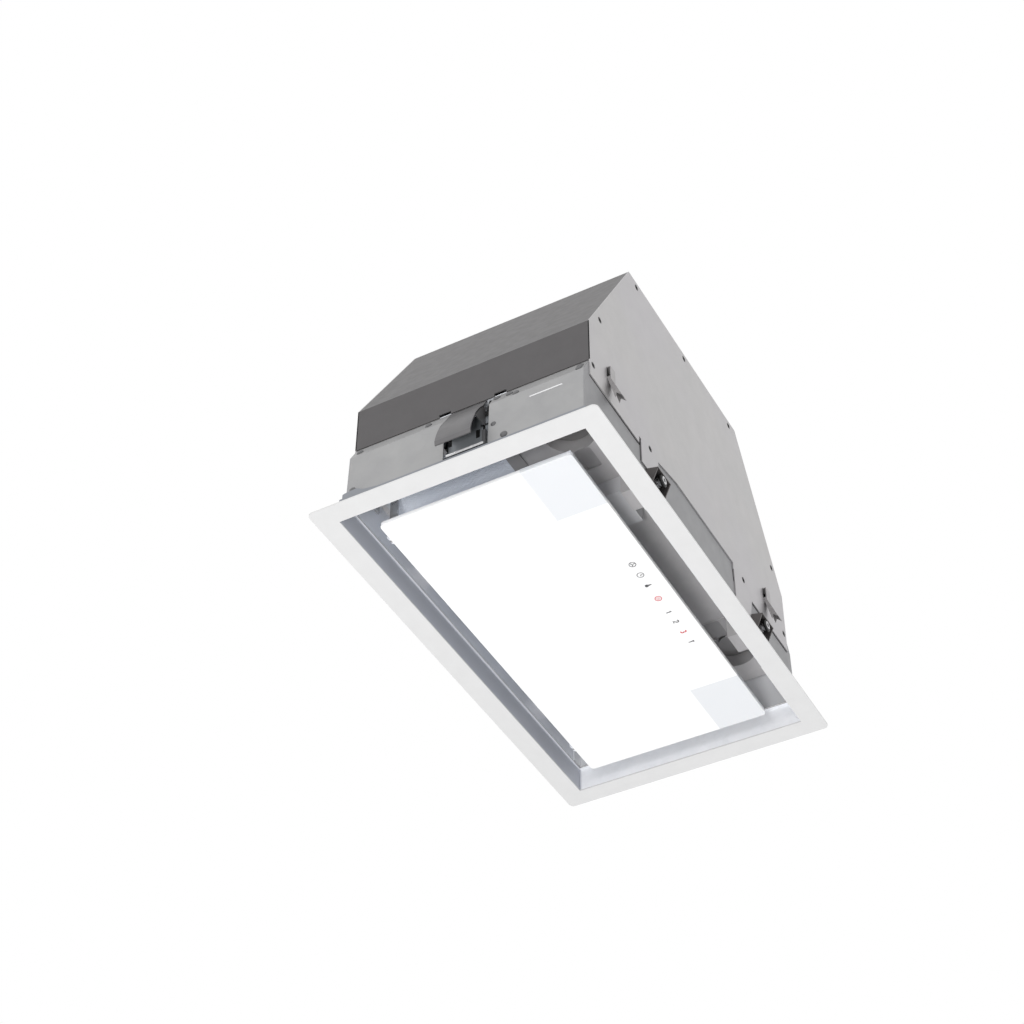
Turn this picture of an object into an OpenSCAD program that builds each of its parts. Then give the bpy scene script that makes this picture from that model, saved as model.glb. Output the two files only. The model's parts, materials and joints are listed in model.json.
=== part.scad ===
// Built-in canopy extractor with perimeter suction round a hinged glass panel.
// Origin: middle of the trim frame's underside. +X along the long side, +Y to the rear, +Z up.

/* [Trim frame] */
// Length of the trim frame
frame_l = 492; // [470:1:520]
// Depth of the trim frame
frame_d = 280; // [270:1:300]
// Thickness of the trim sheet
frame_t = 1.5; // [1:0.1:2]
// Width of the visible border
border = 20.6; // [18:0.1:23]
// Outer corner radius of the trim
frame_r = 5; // [2:0.5:10]
// Depth of the shallow relief in the front inner edge
relief_depth = 0.9; // [0.5:0.1:1.2]
// Left end of the relief
relief_left = -113; // [-130:1:-90]
// Right end of the relief
relief_right = 131; // [100:1:140]
// Height of the top of the inner lip
lip_h = 24.6; // [22:0.1:28]
// Thickness of the lip sheet
lip_t = 1.2; // [0.8:0.1:1.6]
// Width of the lip's foot on the trim
lip_foot = 8; // [5:0.5:12]

/* [Glass panel] */
// Width of the suction slot at the two ends
slot_x = 23.3; // [18:0.1:28]
// Width of the suction slot at front and rear
slot_y = 25.5; // [22:0.1:27]
// Thickness of the glass
glass_t = 4; // [3:0.5:5]
// Height of the underside of the glass
glass_z = 2.7; // [2.2:0.1:3.5]
// Corner radius of the glass
glass_r = 4; // [2:0.5:8]
// Sheet thickness of the tray behind the glass
tray_t = 1; // [0.8:0.1:1.5]
// Inset of the tray from the glass edge
tray_inset = 6; // [5:0.5:10]
// Height of the top of the tray walls
tray_h = 20; // [18:0.5:24]
// Length of a lamp window
window_l = 68; // [60:1:74]
// Depth of a lamp window
window_d = 49; // [44:1:52]
// Thickness of a lamp diffuser
diffuser_t = 1.5; // [1:0.1:2]

/* [Body] */
// Distance from the trim's end to the lower box
low_inset = 24.5; // [23:0.5:28]
// Lean of the end plates up to their bend
low_lean = 1.5; // [1:0.5:4]
// Height of the bend of the end plates
bend_z = 80; // [76:0.5:86]
// Distance from the bend in to the top cover
cover_step = 8.8; // [6:0.2:11]
// Height of the cover's lower edge
cover_z = 98; // [95:0.5:101]
// Height of the shoulder
shoulder_z = 147.7; // [140:0.5:155]
// Distance from the duct collar's flange to the fold of the flat top
top_margin = 39.4; // [36:0.2:44]
// Height of the flat top
top_z = 304.3; // [302:0.5:312]
// Distance from the trim's edge to a side plate's outer face
side_inset = 21.4; // [21:0.1:21.8]
// Thickness of the side plates
side_t = 1.2; // [1:0.1:1.4]
// Thickness of the other body sheets
sheet_t = 1; // [0.8:0.1:1.2]
// Width of the fixing flanges
flange_w = 15; // [14:0.5:18]

/* [Side plate outline] */
// Height of the lower edge at the left
edge_left_z = 79; // [77:0.5:84]
// Height of the lower edge at the right
edge_right_z = 77; // [75:0.5:82]
// Height of the lower edge in the middle
edge_mid_z = 95; // [92:0.5:97]
// Left side of the left tab
tab_l0 = -113; // [-116:0.5:-110]
// Right side of the left tab
tab_l1 = -78; // [-84:0.5:-76]
// Lower end of the left tab
tab_l_z = 59; // [57:0.5:64]
// Left side of the right tab
tab_r0 = 85.5; // [82:0.5:90]
// Right side of the right tab
tab_r1 = 118.5; // [112:0.5:118.5]
// Lower end of the right tab
tab_r_z = 50; // [47:0.5:56]
// Width of the notch beside the left tab
tab_notch = 4; // [2:0.5:6]
// Height of the top of that notch
tab_notch_z = 87; // [85:0.5:89]

/* [Blower] */
// Distance of the fan axis left of the middle
fan_x = 64; // [62:0.5:66]
// Outer radius of the impeller
fan_r = 66; // [62:0.5:68]
// Inner radius of the blade ring
blade_r = 54; // [53:0.5:56]
// Number of blades
blades = 32; // [24:1:44]
// Thickness of a blade
blade_t = 0.9; // [0.7:0.1:1.2]
// Half width of the impeller
fan_half = 50; // [46:0.5:52]
// Scroll radius at the tongue
scroll_r0 = 74; // [73:0.5:76]
// Scroll radius at the throat
scroll_r1 = 104; // [101:0.5:106]
// Half width between the scroll cheeks
scroll_half = 58; // [56:0.5:60]
// Radius of the air inlets
inlet_r = 52; // [50:0.5:52.5]
// Radius of the motor
motor_r = 34; // [30:0.5:38]
// Radius of the motor shaft
shaft_r = 4; // [3:0.5:5]
// Height of the blower deck
deck_z = 99; // [98.5:0.5:101]

/* [Outlet] */
// Outer radius of the duct collar
collar_r = 74; // [73:0.5:75]
// Wall of the duct collar
collar_t = 1.2; // [1:0.1:1.5]
// Height of the duct collar above its base
collar_h = 42; // [36:1:50]
// Height of the flap axis above the flat top
flap_rise = 12; // [11:0.5:16]
// Thickness of a flap
flap_t = 1; // [0.8:0.1:1.2]

/* [Filter and lamps] */
// Height of the underside of the carrier plate
carrier_z = 65; // [63:0.5:67]
// Distance from a filter to the cover's end
filter_end = 15.2; // [14:0.2:20]
// Distance from a filter to the rear wall
filter_rear = 11.4; // [11:0.2:16]
// Height of one filter body
filter_h = 10; // [8:0.5:12]
// Distance from a lamp mount to the filters' front side
filter_step = 18; // [18:0.5:22]
// Radius of the lamp recess
lamp_r = 23.3; // [21:0.1:24]
// Distance from a lamp's axis to the cover's end
lamp_end = 40.2; // [38:0.2:42]
// Distance from a lamp's axis to the front wall
lamp_front = 41.4; // [40:0.2:43]
// Depth of the lamp recess
lamp_depth = 22; // [18:0.5:26]

/* [Fixings] */
// Distance from the left spring clips to the cover's end
clip_end_l = 37.7; // [34:0.1:41]
// Distance from the right spring clips to the cover's end
clip_end_r = 48.7; // [45:0.1:51]
// Height at which a clip pivots
clip_z = 104.5; // [103:0.5:107]
// Drop of a clip's forked end below its pivot
clip_drop = 27; // [24:0.5:30]
// Reach of a clip's outer prong from the plate
clip_reach = 13; // [11:0.5:15]
// Reach of a clip's inner prong from the plate
clip_prong = 6.5; // [6:0.5:8]
// Width of a clip
clip_w = 9; // [7:0.5:11]
// Left clamp bolt along X
clamp_x0 = -91; // [-95:0.5:-88]
// Right clamp bolt along X
clamp_x1 = 134; // [133:0.5:142]
// Height of the clamp bolts
clamp_z = 49.5; // [48:0.5:50]
// Radius of the arched clamp lever
lever_r = 22; // [20:0.5:23]
// Rear side of the end plate window
port_y1 = 27.4; // [25:0.2:29]
// Front side of the end plate window
port_y0 = -24.5; // [-26:0.5:-22]
// Lower edge of the end plate window
port_z = 40; // [38:0.5:44]

/* [Hidden] */
$fn = 48;

// Overrun of every cut and the small gaps between fitted pieces
over = 1;
fit_gap = 0.3;
run_gap = 0.05;

// Opening, glass and tray
open_hx = frame_l / 2 - border;
open_hy = frame_d / 2 - border;
glass_hx = open_hx - slot_x;
glass_hy = open_hy - slot_y;
glass_top = glass_z + glass_t;
tray_hx = glass_hx - tray_inset;
tray_hy = glass_hy - tray_inset;

// Sheet planes of the body
low_half = frame_l / 2 - low_inset;
bend_half = low_half - low_lean;
cover_half = bend_half - cover_step;
side_y = frame_d / 2 - side_inset;
wall_y = side_y - side_t;
inner_y = wall_y - sheet_t;
cover_in = cover_half - sheet_t;
top_in = top_z - sheet_t;
seam_in = 10;
base_rim = 8;
collar_base = 2 * (collar_r + base_rim);
top_half = collar_base / 2 + top_margin;
slope_dx = cover_half - top_half;
slope_dz = top_z - shoulder_z;
slope_len = norm([slope_dx, slope_dz]);
incline_dx = bend_half - cover_in;
incline_dz = cover_z - bend_z;
incline_deg = atan2(incline_dx, incline_dz);
tab_rise = 8;

// Screws
screw_r = 1.4;
screw_head_r = 3.2;
screw_head_h = 0.8;
screw_len = 5;
rivet_r = 1.5;
rivet_head_r = 3;
rivet_head_h = 1.3;
rivet_len = 4;

// Places of the side plate screws as [along X, height]
edge_step = 7;
screw_mid_x = 105.5;
screw_slope_in = 22.2;
screw_slope_x = cover_half - screw_slope_in;
screw_slope_z = 169;
screw_end_in = 5.9;
screw_end_x = cover_half - screw_end_in;
screw_end_drop = 2.8;
screw_tab_z = 90.5;
screw_tab_l = -94.2;
screw_tab_r = 107.8;
side_screws = [[-screw_mid_x, top_z - edge_step], [0, top_z - edge_step],
    [screw_mid_x, top_z - edge_step], [-screw_slope_x, screw_slope_z],
    [screw_slope_x, screw_slope_z], [-screw_end_x, cover_z - screw_end_drop],
    [screw_end_x, cover_z - screw_end_drop], [screw_tab_l, screw_tab_z],
    [screw_tab_r, screw_tab_z]];

// Places of the end plate screws: on the incline as shares of its width and height, and on the wall
incline_screws_share = [[0.337, 0.45], [-0.251, 0.55], [-0.362, 0.45], [-0.427, 0.2], [-0.955, 0.5],
    [-0.955, 0.2], [0.945, 0.45]];
wall_screw_in = 5.2;
wall_screw_y0 = inner_y - wall_screw_in;
wall_screw_z0 = 37.3;
wall_screw_y1 = -40;
wall_screw_z1 = 35;
wall_screws = [[wall_screw_y0, wall_screw_z0], [wall_screw_y1, wall_screw_z1]];
drain_y = -29.4;
drain_z = 53;
drain_r = 2;

// Cover slots beside the clamp window
slot_w = 12;
slot_lap = 2;
slot_mid_rear = port_y1 - slot_lap;
slot_mid_front = port_y0 - slot_w / 2;
slot_h = 3.5;

// Blower
fan_ax = -fan_x;
deck_t = sheet_t;
deck_top = deck_z + deck_t;
tongue_deg = 70;
turn_deg = 360 - tongue_deg;
lowest_deg = 274;
cheek_rim = 6;
function scroll_rad(a) = scroll_r0 + (scroll_r1 - scroll_r0) * (a - tongue_deg) / turn_deg;
fan_az = deck_top + scroll_rad(lowest_deg) + cheek_rim + run_gap;
duct_x0 = fan_ax + scroll_r0 * cos(tongue_deg);
duct_x1 = fan_ax + scroll_r1;
scroll_steps = 30;
ring_t = 2;
ring_in = 7.5;
disc_t = 1.5;
hub_r = 9;
hub_half = 9;
motor_y0 = 12;
motor_gap = 2;
motor_y1 = scroll_half + sheet_t + motor_gap;
bore_y = 45;
bracket_t = 2;
bracket_ring = 30;
bracket_arm_r = 62;
bracket_arm_w = 12;
bush_r = 5;
cap_r = 14;
cap_h = 56;
cap_x = 120;
cap_y = 52;

// Outlet
collar_base_t = sheet_t;
flap_z = top_z + flap_rise;
collar_in = collar_r - collar_t;
flap_gap = 1.9;
flap_r = collar_in - flap_gap;
rod_r = 1.5;
barrel_r = 3;
barrels = 4;
stop_w = 4;
stop_t = 1.4;

// Filter carrier and lamps
carrier_t = sheet_t;
filter_gap = 3;
filter_l = cover_in - filter_gap - filter_end;
lamp_x = cover_in - lamp_end;
lamp_y = wall_y - lamp_front;
mount_l = 98;
mount_d = 88;
filter_front = lamp_y - mount_d / 2 - filter_step;
filter_d = wall_y - filter_rear + filter_front;
filter_y = (wall_y - filter_rear - filter_front) / 2;
filter_rim = 5;
filter_rim_t = 1.2;
filter_x = filter_l / 2 + filter_gap;
latch_w = 36;
latch_d = 14;
latch_t = 3;
latch_wing = 4;
mount_t = sheet_t;
cup_t = 1;
lens_h = 3;
lamp_h = 9;
recess_l = 26;
recess_d = 16;
recess_r = 3;
recess_dx = 36;
driver_l = 44;
driver_d = 40;
driver_h = 18;
driver_step = 92;
driver_x = driver_step - lamp_x;
driver_shift = 5;
driver_y = driver_shift - lamp_y;

// Control box
box_end = 134.2;
box_x0 = cover_in - box_end;
box_l = 108;
box_d = 92;
box_h = 34;
box_front = 12.4;
box_y0 = box_front - inner_y;
box_t = 2;
board_t = 1.6;
board_z = 8;
gland_end = 21.4;
gland_x = top_half - gland_end;
gland_y = 62;
gland_r = 8;
gland_bore = 4;
gland_h = 14;
gland_nut_r = 11.2;
relay_w = 15;
relay_pitch = 24;

// Panel hinge and catches
hinge_out = 4.1;
hinge_y = glass_hy + hinge_out;
hinge_z = 14;
hinge_end = 24.1;
hinge_x = tray_hx - hinge_end;
hinge_r = 4;
pin_r = 2;
arm_t = 2;
arm_foot = 12;
ear_gap = 0.5;
catch_end = 86.1;
catch_x = tray_hx - catch_end;
catch_front = 27.9;
catch_y = catch_front - tray_hy;
catch_w = 16;
strike_w = 22;
magnet_h = 4;
post_t = 1.5;
board_x0 = -64;
board_x1 = 80;
touch_front = 16.9;
touch_y = touch_front - glass_hy;
touch_d = 18;

// Cabinet fixings
clip_x0 = clip_end_l - cover_half;
clip_x1 = cover_half - clip_end_r;
clip_t = 0.8;
clip_up = 14;
clip_ear = 2;
clip_root = 3.2;
clip_notch = 5;
lever_t = 1.2;
lever_in = 2.2;
lever_x = cover_half - lever_in;
lever_z = 72;
lever_a0 = 96;
lever_a1 = 232;
lever_rod_r = 2;
lever_side_rear = 2.4;
lever_side_front = 9.5;
plate_out = 2.8;
plate_x = cover_half + plate_out;
plate_h = 22;
rod2_r = 1.6;
rod2_z = 45;
bracket_w = 26;
bracket_up = 8.8;
bracket_down = 15;
bracket_out = 11;
bracket_drop = 3;
bracket_sheet = 1;
bolt_r = 2.5;
bolt_out = 11;
cap_head_r = 4;
cap_head_h = 5;
socket_r = 2;
socket_d = 3;
nut_r = 5;
nut_h = 4;
washer_r = 6;
washer_t = 1;
guide_w = 26;
guide_d = 24;
guide_h = 22;
guide_z = 40;

steel = [0.72, 0.72, 0.73];
zinc = [0.64, 0.65, 0.66];
dark = [0.42, 0.42, 0.42];
black = [0.12, 0.12, 0.12];

// A flat plate in the XZ plane with its inner face at distance y0 in front, sheet t outwards
module upright(y0, t) {
    translate([0, -y0, 0])
        rotate([90, 0, 0])
            linear_extrude(t)
                children();
}

// A rectangle with round corners, given by its half sizes
module rounded(hx, hy, r) {
    union() {
        square([2 * (hx - r), 2 * hy], center = true);
        square([2 * hx, 2 * (hy - r)], center = true);
        for (sx = [-1, 1], sy = [-1, 1])
            translate([sx * (hx - r), sy * (hy - r)])
                circle(r);
    }
}

// Copies for both ends or for front and rear
module both_ends() {
    children();
    mirror([1, 0, 0])
        children();
}
module both_faces() {
    children();
    mirror([0, 1, 0])
        children();
}

// A cylinder along Y from y0 to y1
module rod_y(x, z, r, y0, y1) {
    translate([x, y1, z])
        rotate([90, 0, 0])
            cylinder(r = r, h = y1 - y0);
}

// The slanting shoulder outline of the upper body, drawn in by a distance
function shoulder(inset, z0) = let (
    k = (slope_len - slope_dz) / slope_dx,
    m = (slope_len - slope_dx) / slope_dz)
    [[-cover_half + inset, z0], [-cover_half + inset, shoulder_z - inset * k],
    [-top_half + inset * m, top_z - inset], [top_half - inset * m, top_z - inset],
    [cover_half - inset, shoulder_z - inset * k], [cover_half - inset, z0]];

// The outline of the lower box, drawn in by a distance
function low_box(inset) = [[-low_half + inset, lip_h], [-bend_half + inset, bend_z],
    [-cover_in + inset, cover_z], [cover_in - inset, cover_z],
    [bend_half - inset, bend_z], [low_half - inset, lip_h]];

// Trim
module trim_frame() {
    color("white")
        difference() {
            linear_extrude(frame_t)
                difference() {
                    rounded(frame_l / 2, frame_d / 2, frame_r);
                    square([2 * open_hx, 2 * open_hy], center = true);
                }
            translate([relief_left, -open_hy - relief_depth, -over])
                cube([relief_right - relief_left, 2 * relief_depth, frame_t + 2 * over]);
        }
}

module lip_collar() {
    color(zinc)
        difference() {
            union() {
                translate([0, 0, frame_t])
                    linear_extrude(lip_t)
                        square([2 * (open_hx + lip_foot), 2 * (open_hy + lip_foot)], center = true);
                translate([0, 0, frame_t])
                    linear_extrude(lip_h + lip_t - frame_t)
                        square([2 * (open_hx + lip_t), 2 * (open_hy + lip_t)], center = true);
            }
            translate([-open_hx, -open_hy, 0])
                cube([2 * open_hx, 2 * open_hy, lip_h]);
            translate([-low_half, -wall_y, 0])
                cube([2 * low_half, 2 * wall_y, lip_h + lip_t + over]);
        }
}

// Lower box
module chassis_wall() {
    color(zinc)
        difference() {
            upright(inner_y, sheet_t)
                polygon(low_box(0));
            for (s = side_screws)
                if (s[1] < cover_z)
                    rod_y(s[0], s[1], screw_r + run_gap, -wall_y - over, -inner_y + over);
            for (x = [clamp_x0, clamp_x1])
                rod_y(x, clamp_z, bolt_r + run_gap, -wall_y - over, -inner_y + over);
        }
}
module chassis_front() {
    chassis_wall();
}
module chassis_rear() {
    mirror([0, 1, 0])
        chassis_wall();
}

// A place on the incline of the left end plate, looking outwards along its normal
module on_incline(y_share, share) {
    translate([-bend_half + incline_dx * share, inner_y * y_share, bend_z + incline_dz * share])
        rotate([0, -90 + incline_deg, 0])
            children();
}
module on_wall(y, z) {
    half = low_half - (low_half - bend_half) * (z - lip_h) / (bend_z - lip_h);
    translate([-half, y, z])
        rotate([0, -90 + atan2(low_half - bend_half, bend_z - lip_h), 0])
            children();
}

module end_plate() {
    outer = [[-low_half, lip_h], [-bend_half, bend_z], [-cover_in, cover_z],
        [-cover_in, cover_z + tab_rise]];
    inner = [[-cover_in + sheet_t, cover_z + tab_rise], [-cover_in + sheet_t, cover_z],
        [-bend_half + sheet_t, bend_z], [-low_half + sheet_t, lip_h]];
    color(zinc)
        difference() {
            union() {
                upright(-inner_y, 2 * inner_y)
                    polygon(concat(outer, inner));
                both_faces()
                    upright(inner_y - sheet_t, sheet_t)
                        polygon([[-low_half + sheet_t, lip_h], [-bend_half + sheet_t, bend_z],
                            [-bend_half + flange_w, bend_z], [-low_half + flange_w, lip_h]]);
            }
            translate([-low_half - over, port_y0, port_z])
                cube([2 * flange_w, port_y1 - port_y0, cover_z]);
            for (y = [slot_mid_rear, slot_mid_front])
                translate([-low_half - over, y - slot_w / 2, cover_z])
                    cube([2 * flange_w, slot_w, tab_rise + over]);
            for (s = incline_screws_share)
                on_incline(s[0], s[1])
                    cylinder(r = rivet_r + run_gap, h = 2 * rivet_len, center = true);
            for (s = wall_screws)
                on_wall(s[0], s[1])
                    cylinder(r = rivet_r + run_gap, h = 2 * rivet_len, center = true);
            on_wall(drain_y, drain_z)
                cylinder(r = drain_r, h = 2 * rivet_len, center = true);
        }
}
module end_plate_left() {
    end_plate();
}
module end_plate_right() {
    mirror([1, 0, 0])
        end_plate();
}

module end_screw_set() {
    for (s = incline_screws_share)
        on_incline(s[0], s[1])
            rivet();
    for (s = wall_screws)
        on_wall(s[0], s[1])
            rivet();
}
module rivet() {
    translate([0, 0, -rivet_len])
        cylinder(r = rivet_r, h = rivet_len);
    cylinder(r = rivet_head_r, h = rivet_head_h / 2);
    translate([0, 0, rivet_head_h / 2])
        cylinder(r1 = rivet_head_r, r2 = rivet_head_r / 2, h = rivet_head_h / 2, $fn = 24);
}
module end_screws() {
    color(steel)
        both_ends()
            end_screw_set();
}

// Upper body
side_outline = [[-cover_half, edge_left_z], [tab_l0 - tab_notch, edge_left_z],
    [tab_l0 - tab_notch, tab_notch_z], [tab_l0, tab_notch_z], [tab_l0, tab_l_z],
    [tab_l0 + flange_w, tab_l_z], [tab_l1, tab_l_z + flange_w], [tab_l1, edge_mid_z - edge_step],
    [tab_l1 / 2, edge_mid_z], [tab_r0 - flange_w, edge_mid_z], [tab_r0 - side_t, edge_mid_z],
    [tab_r0 - side_t, tab_notch_z], [tab_r0, tab_notch_z], [tab_r0, tab_r_z], [tab_r1, tab_r_z],
    [tab_r1 + edge_step, edge_right_z], [cover_half, edge_right_z], [cover_half, shoulder_z],
    [top_half, top_z], [-top_half, top_z], [-cover_half, shoulder_z]];

module clip_holes(y, t) {
    for (x = [clip_x0, clip_x1])
        translate([x - clip_w / 2 - fit_gap, -y - over, clip_z])
            cube([clip_w + 2 * fit_gap, t + 2 * over, clip_up + over]);
}
module side_plate() {
    color(steel)
        difference() {
            upright(wall_y, side_t)
                polygon(side_outline);
            for (s = side_screws)
                rod_y(s[0], s[1], screw_head_r + run_gap, -side_y - over, -wall_y + over);
            clip_holes(side_y, side_t);
        }
}
module side_plate_front() {
    side_plate();
}
module side_plate_rear() {
    mirror([0, 1, 0])
        side_plate();
}

seam_x = top_half - seam_in;
module cover_screw_holes() {
    both_faces()
        for (s = side_screws)
            if (s[1] > cover_z)
                rod_y(s[0], s[1], screw_r + run_gap, -wall_y - over, -inner_y + over);
}
module top_cover() {
    color(dark)
        difference() {
            union() {
                translate([-seam_x, -wall_y, top_in])
                    cube([2 * seam_x, 2 * wall_y, sheet_t]);
                both_faces()
                    translate([-seam_x, -wall_y, top_z - flange_w])
                        cube([2 * seam_x, sheet_t, flange_w]);
            }
            translate([0, 0, top_in - over])
                cylinder(r = collar_in, h = sheet_t + 2 * over, $fn = 96);
            translate([gland_x, gland_y, top_in - over])
                cylinder(r = gland_r + run_gap, h = sheet_t + 2 * over);
            cover_screw_holes();
        }
}
module cover_ends() {
    color(dark)
        difference() {
            union() {
                upright(-wall_y, 2 * wall_y)
                    polygon(concat(shoulder(0, cover_z), [for (i = [5:-1:0])
                        shoulder(sheet_t, cover_z)[i]]));
                both_faces()
                    upright(inner_y, sheet_t)
                        polygon(concat(shoulder(sheet_t / 2, cover_z), [for (i = [5:-1:0])
                            shoulder(flange_w, cover_z)[i]]));
            }
            translate([-seam_x, -side_y, cover_z])
                cube([2 * seam_x, 2 * side_y, top_z]);
            both_ends()
                for (y = [slot_mid_rear, slot_mid_front])
                    translate([-cover_half - over, y - slot_w / 2, cover_z - over])
                        cube([sheet_t + 2 * over, slot_w, slot_h + over]);
            cover_screw_holes();
            both_faces()
                clip_holes(wall_y, sheet_t);
        }
}

module case_screws() {
    color(black)
        both_faces()
            for (s = side_screws) {
                rod_y(s[0], s[1], screw_head_r, -wall_y - screw_head_h, -wall_y);
                rod_y(s[0], s[1], screw_r, -wall_y, -wall_y + screw_len);
            }
}

// Outlet
module collar_flange() {
    color(black)
        translate([0, 0, top_z])
            linear_extrude(collar_base_t)
                difference() {
                    rounded(collar_base / 2, collar_base / 2, frame_r);
                    circle(r = collar_in, $fn = 96);
                }
}
module outlet_collar() {
    color(black)
        difference() {
            translate([0, 0, top_z + collar_base_t])
                cylinder(r = collar_r, h = collar_h, $fn = 96);
            translate([0, 0, top_z - over])
                cylinder(r = collar_in - stop_w, h = collar_h, $fn = 96);
            translate([0, 0, flap_z - flap_t / 2 - fit_gap])
                cylinder(r = collar_in, h = collar_h, $fn = 96);
            translate([0, 0, top_z - over])
                cylinder(r = collar_in, h = flap_rise - flap_t / 2 - fit_gap - stop_t + over, $fn = 96);
            rod_y(0, flap_z, rod_r + run_gap, -collar_r - over, collar_r + over);
            translate([-barrel_r - fit_gap, -collar_in, flap_z - barrel_r - fit_gap])
                cube([2 * (barrel_r + fit_gap), 2 * collar_in, 2 * barrel_r]);
        }
}
module damper_rod() {
    color(steel)
        rod_y(0, flap_z, rod_r, fit_gap - collar_r, collar_r - fit_gap);
}

// One half-round flap on the left of the rod with its own share of the hinge barrels
module damper_flap(first) {
    span = 2 * (flap_r - 2 * barrel_r) / barrels;
    reach = barrel_r + fit_gap;
    color(zinc)
        difference() {
            union() {
                translate([0, 0, flap_z - flap_t / 2])
                    linear_extrude(flap_t)
                        difference() {
                            circle(r = flap_r, $fn = 96);
                            translate([-reach, -collar_r])
                                square([2 * collar_r, 2 * collar_r]);
                        }
                for (k = [first:2:barrels - 1])
                    translate([0, -flap_r + 2 * barrel_r + k * span, 0]) {
                        rod_y(0, flap_z, barrel_r, fit_gap, span - fit_gap);
                        translate([-2 * barrel_r, fit_gap, flap_z - flap_t / 2])
                            cube([2 * barrel_r, span - 2 * fit_gap, flap_t]);
                    }
            }
            rod_y(0, flap_z, rod_r + run_gap, -collar_r, collar_r);
        }
}
module damper_flap_left() {
    damper_flap(0);
}
module damper_flap_right() {
    mirror([1, 0, 0])
        damper_flap(1);
}

// Blower
module scroll_section(grow) {
    union() {
        polygon([for (i = [0:scroll_steps]) let (a = tongue_deg + turn_deg * i / scroll_steps,
            r = scroll_rad(a) + grow) [fan_ax + r * cos(a), fan_az + r * sin(a)]]);
        translate([duct_x0 - grow, fan_az])
            square([duct_x1 - duct_x0 + 2 * grow, top_in - fan_az]);
    }
}
module scroll_wrap() {
    color(zinc)
        upright(-scroll_half, 2 * scroll_half)
            difference() {
                scroll_section(sheet_t);
                scroll_section(0);
            }
}
module scroll_cheek() {
    foot_w = 20;
    foot_d = 12;
    color(zinc)
        difference() {
            union() {
                upright(scroll_half, sheet_t)
                    scroll_section(cheek_rim);
                for (x = [fan_ax - inlet_r, fan_ax + inlet_r])
                    translate([x - foot_w / 2, -scroll_half - foot_d, deck_top]) {
                        cube([foot_w, foot_d, sheet_t]);
                        translate([0, foot_d - sheet_t, 0])
                            cube([foot_w, sheet_t, 2 * cheek_rim + foot_d]);
                    }
                rod_y(fan_ax, fan_az, inlet_r + sheet_t, -scroll_half - sheet_t,
                    -fan_half - ring_t);
            }
            rod_y(fan_ax, fan_az, inlet_r, -scroll_half - 2 * sheet_t, -fan_half);
        }
}
module scroll_cheek_front() {
    scroll_cheek();
}
module scroll_cheek_rear() {
    mirror([0, 1, 0])
        scroll_cheek();
}

// A forward-curved blade as an arc between the inner and outer radius
module blade() {
    steps = 4;
    sweep = 28;
    radial = fan_r - blade_r;
    mid = [for (i = [0:steps]) let (u = i / steps, r = blade_r + radial * u, a = sweep * u * u / 2)
        [r * cos(a), r * sin(a)]];
    polygon(concat(mid, [for (i = [steps:-1:0]) let (r = norm(mid[i]) , da = blade_t / r * 180 / PI,
        a = atan2(mid[i][1], mid[i][0]) + da) [r * cos(a), r * sin(a)]]));
}
module impeller() {
    color(black)
        translate([fan_ax, 0, fan_az])
            rotate([90, 0, 0])
                difference() {
                    union() {
                        for (i = [0:blades - 1])
                            rotate([0, 0, i * 360 / blades])
                                translate([0, 0, -fan_half + ring_t / 2])
                                    linear_extrude(2 * fan_half - ring_t)
                                        blade();
                        cylinder(r = fan_r - ring_t / 2, h = disc_t, center = true, $fn = 96);
                        cylinder(r = hub_r, h = 2 * hub_half, center = true);
                        for (z = [-fan_half, fan_half - ring_t])
                            translate([0, 0, z])
                                difference() {
                                    cylinder(r = fan_r + ring_t / 2, h = ring_t, $fn = 96);
                                    translate([0, 0, -over])
                                        cylinder(r = fan_r - ring_in, h = ring_t + 2 * over, $fn = 96);
                                }
                    }
                    cylinder(r = shaft_r, h = 4 * hub_half, center = true);
                }
}
module motor_shaft() {
    color(steel)
        rod_y(fan_ax, fan_az, shaft_r, -motor_y0, bore_y - over);
}
module motor_body() {
    ribs = 16;
    color(dark)
        difference() {
            union() {
                rod_y(fan_ax, fan_az, motor_r, motor_y0 + motor_gap, motor_y1);
                rod_y(fan_ax, fan_az, 2 * hub_r, motor_y0, motor_y0 + motor_gap);
                for (i = [0:ribs - 1])
                    translate([fan_ax, 0, fan_az])
                        rotate([0, i * 360 / ribs, 0])
                            translate([0, 2 * motor_y0, -sheet_t / 2])
                                cube([motor_r + motor_gap, motor_r - motor_gap, sheet_t]);
            }
            rod_y(fan_ax, fan_az, shaft_r + run_gap, 0, bore_y);
        }
}
module bracket_arms() {
    for (a = [90, 210, 330])
        rotate([0, 0, a])
            translate([0, -bracket_arm_w / 2])
                square([bracket_arm_r, bracket_arm_w]);
}
module motor_bracket() {
    color(steel)
        translate([fan_ax, motor_y1 + bracket_t, fan_az])
            rotate([90, 0, 0])
                linear_extrude(bracket_t)
                    difference() {
                        union() {
                            circle(r = bracket_ring);
                            bracket_arms();
                        }
                        circle(r = bracket_ring / 2);
                        for (a = [90, 210, 330])
                            rotate([0, 0, a])
                                translate([bracket_arm_r - bush_r, 0])
                                    circle(r = screw_r + run_gap);
                    }
}
module motor_bushes() {
    color(black)
        for (a = [90, 210, 330])
            translate([fan_ax, 0, fan_az])
                rotate([0, -a, 0]) {
                    rod_y(bracket_arm_r - bush_r, 0, bush_r, scroll_half + sheet_t, motor_y1);
                    rod_y(bracket_arm_r - bush_r, 0, screw_r, motor_y1, motor_y1 + bracket_t);
                    rod_y(bracket_arm_r - bush_r, 0, bush_r, motor_y1 + bracket_t,
                        motor_y1 + 2 * bracket_t);
                }
}
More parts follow.
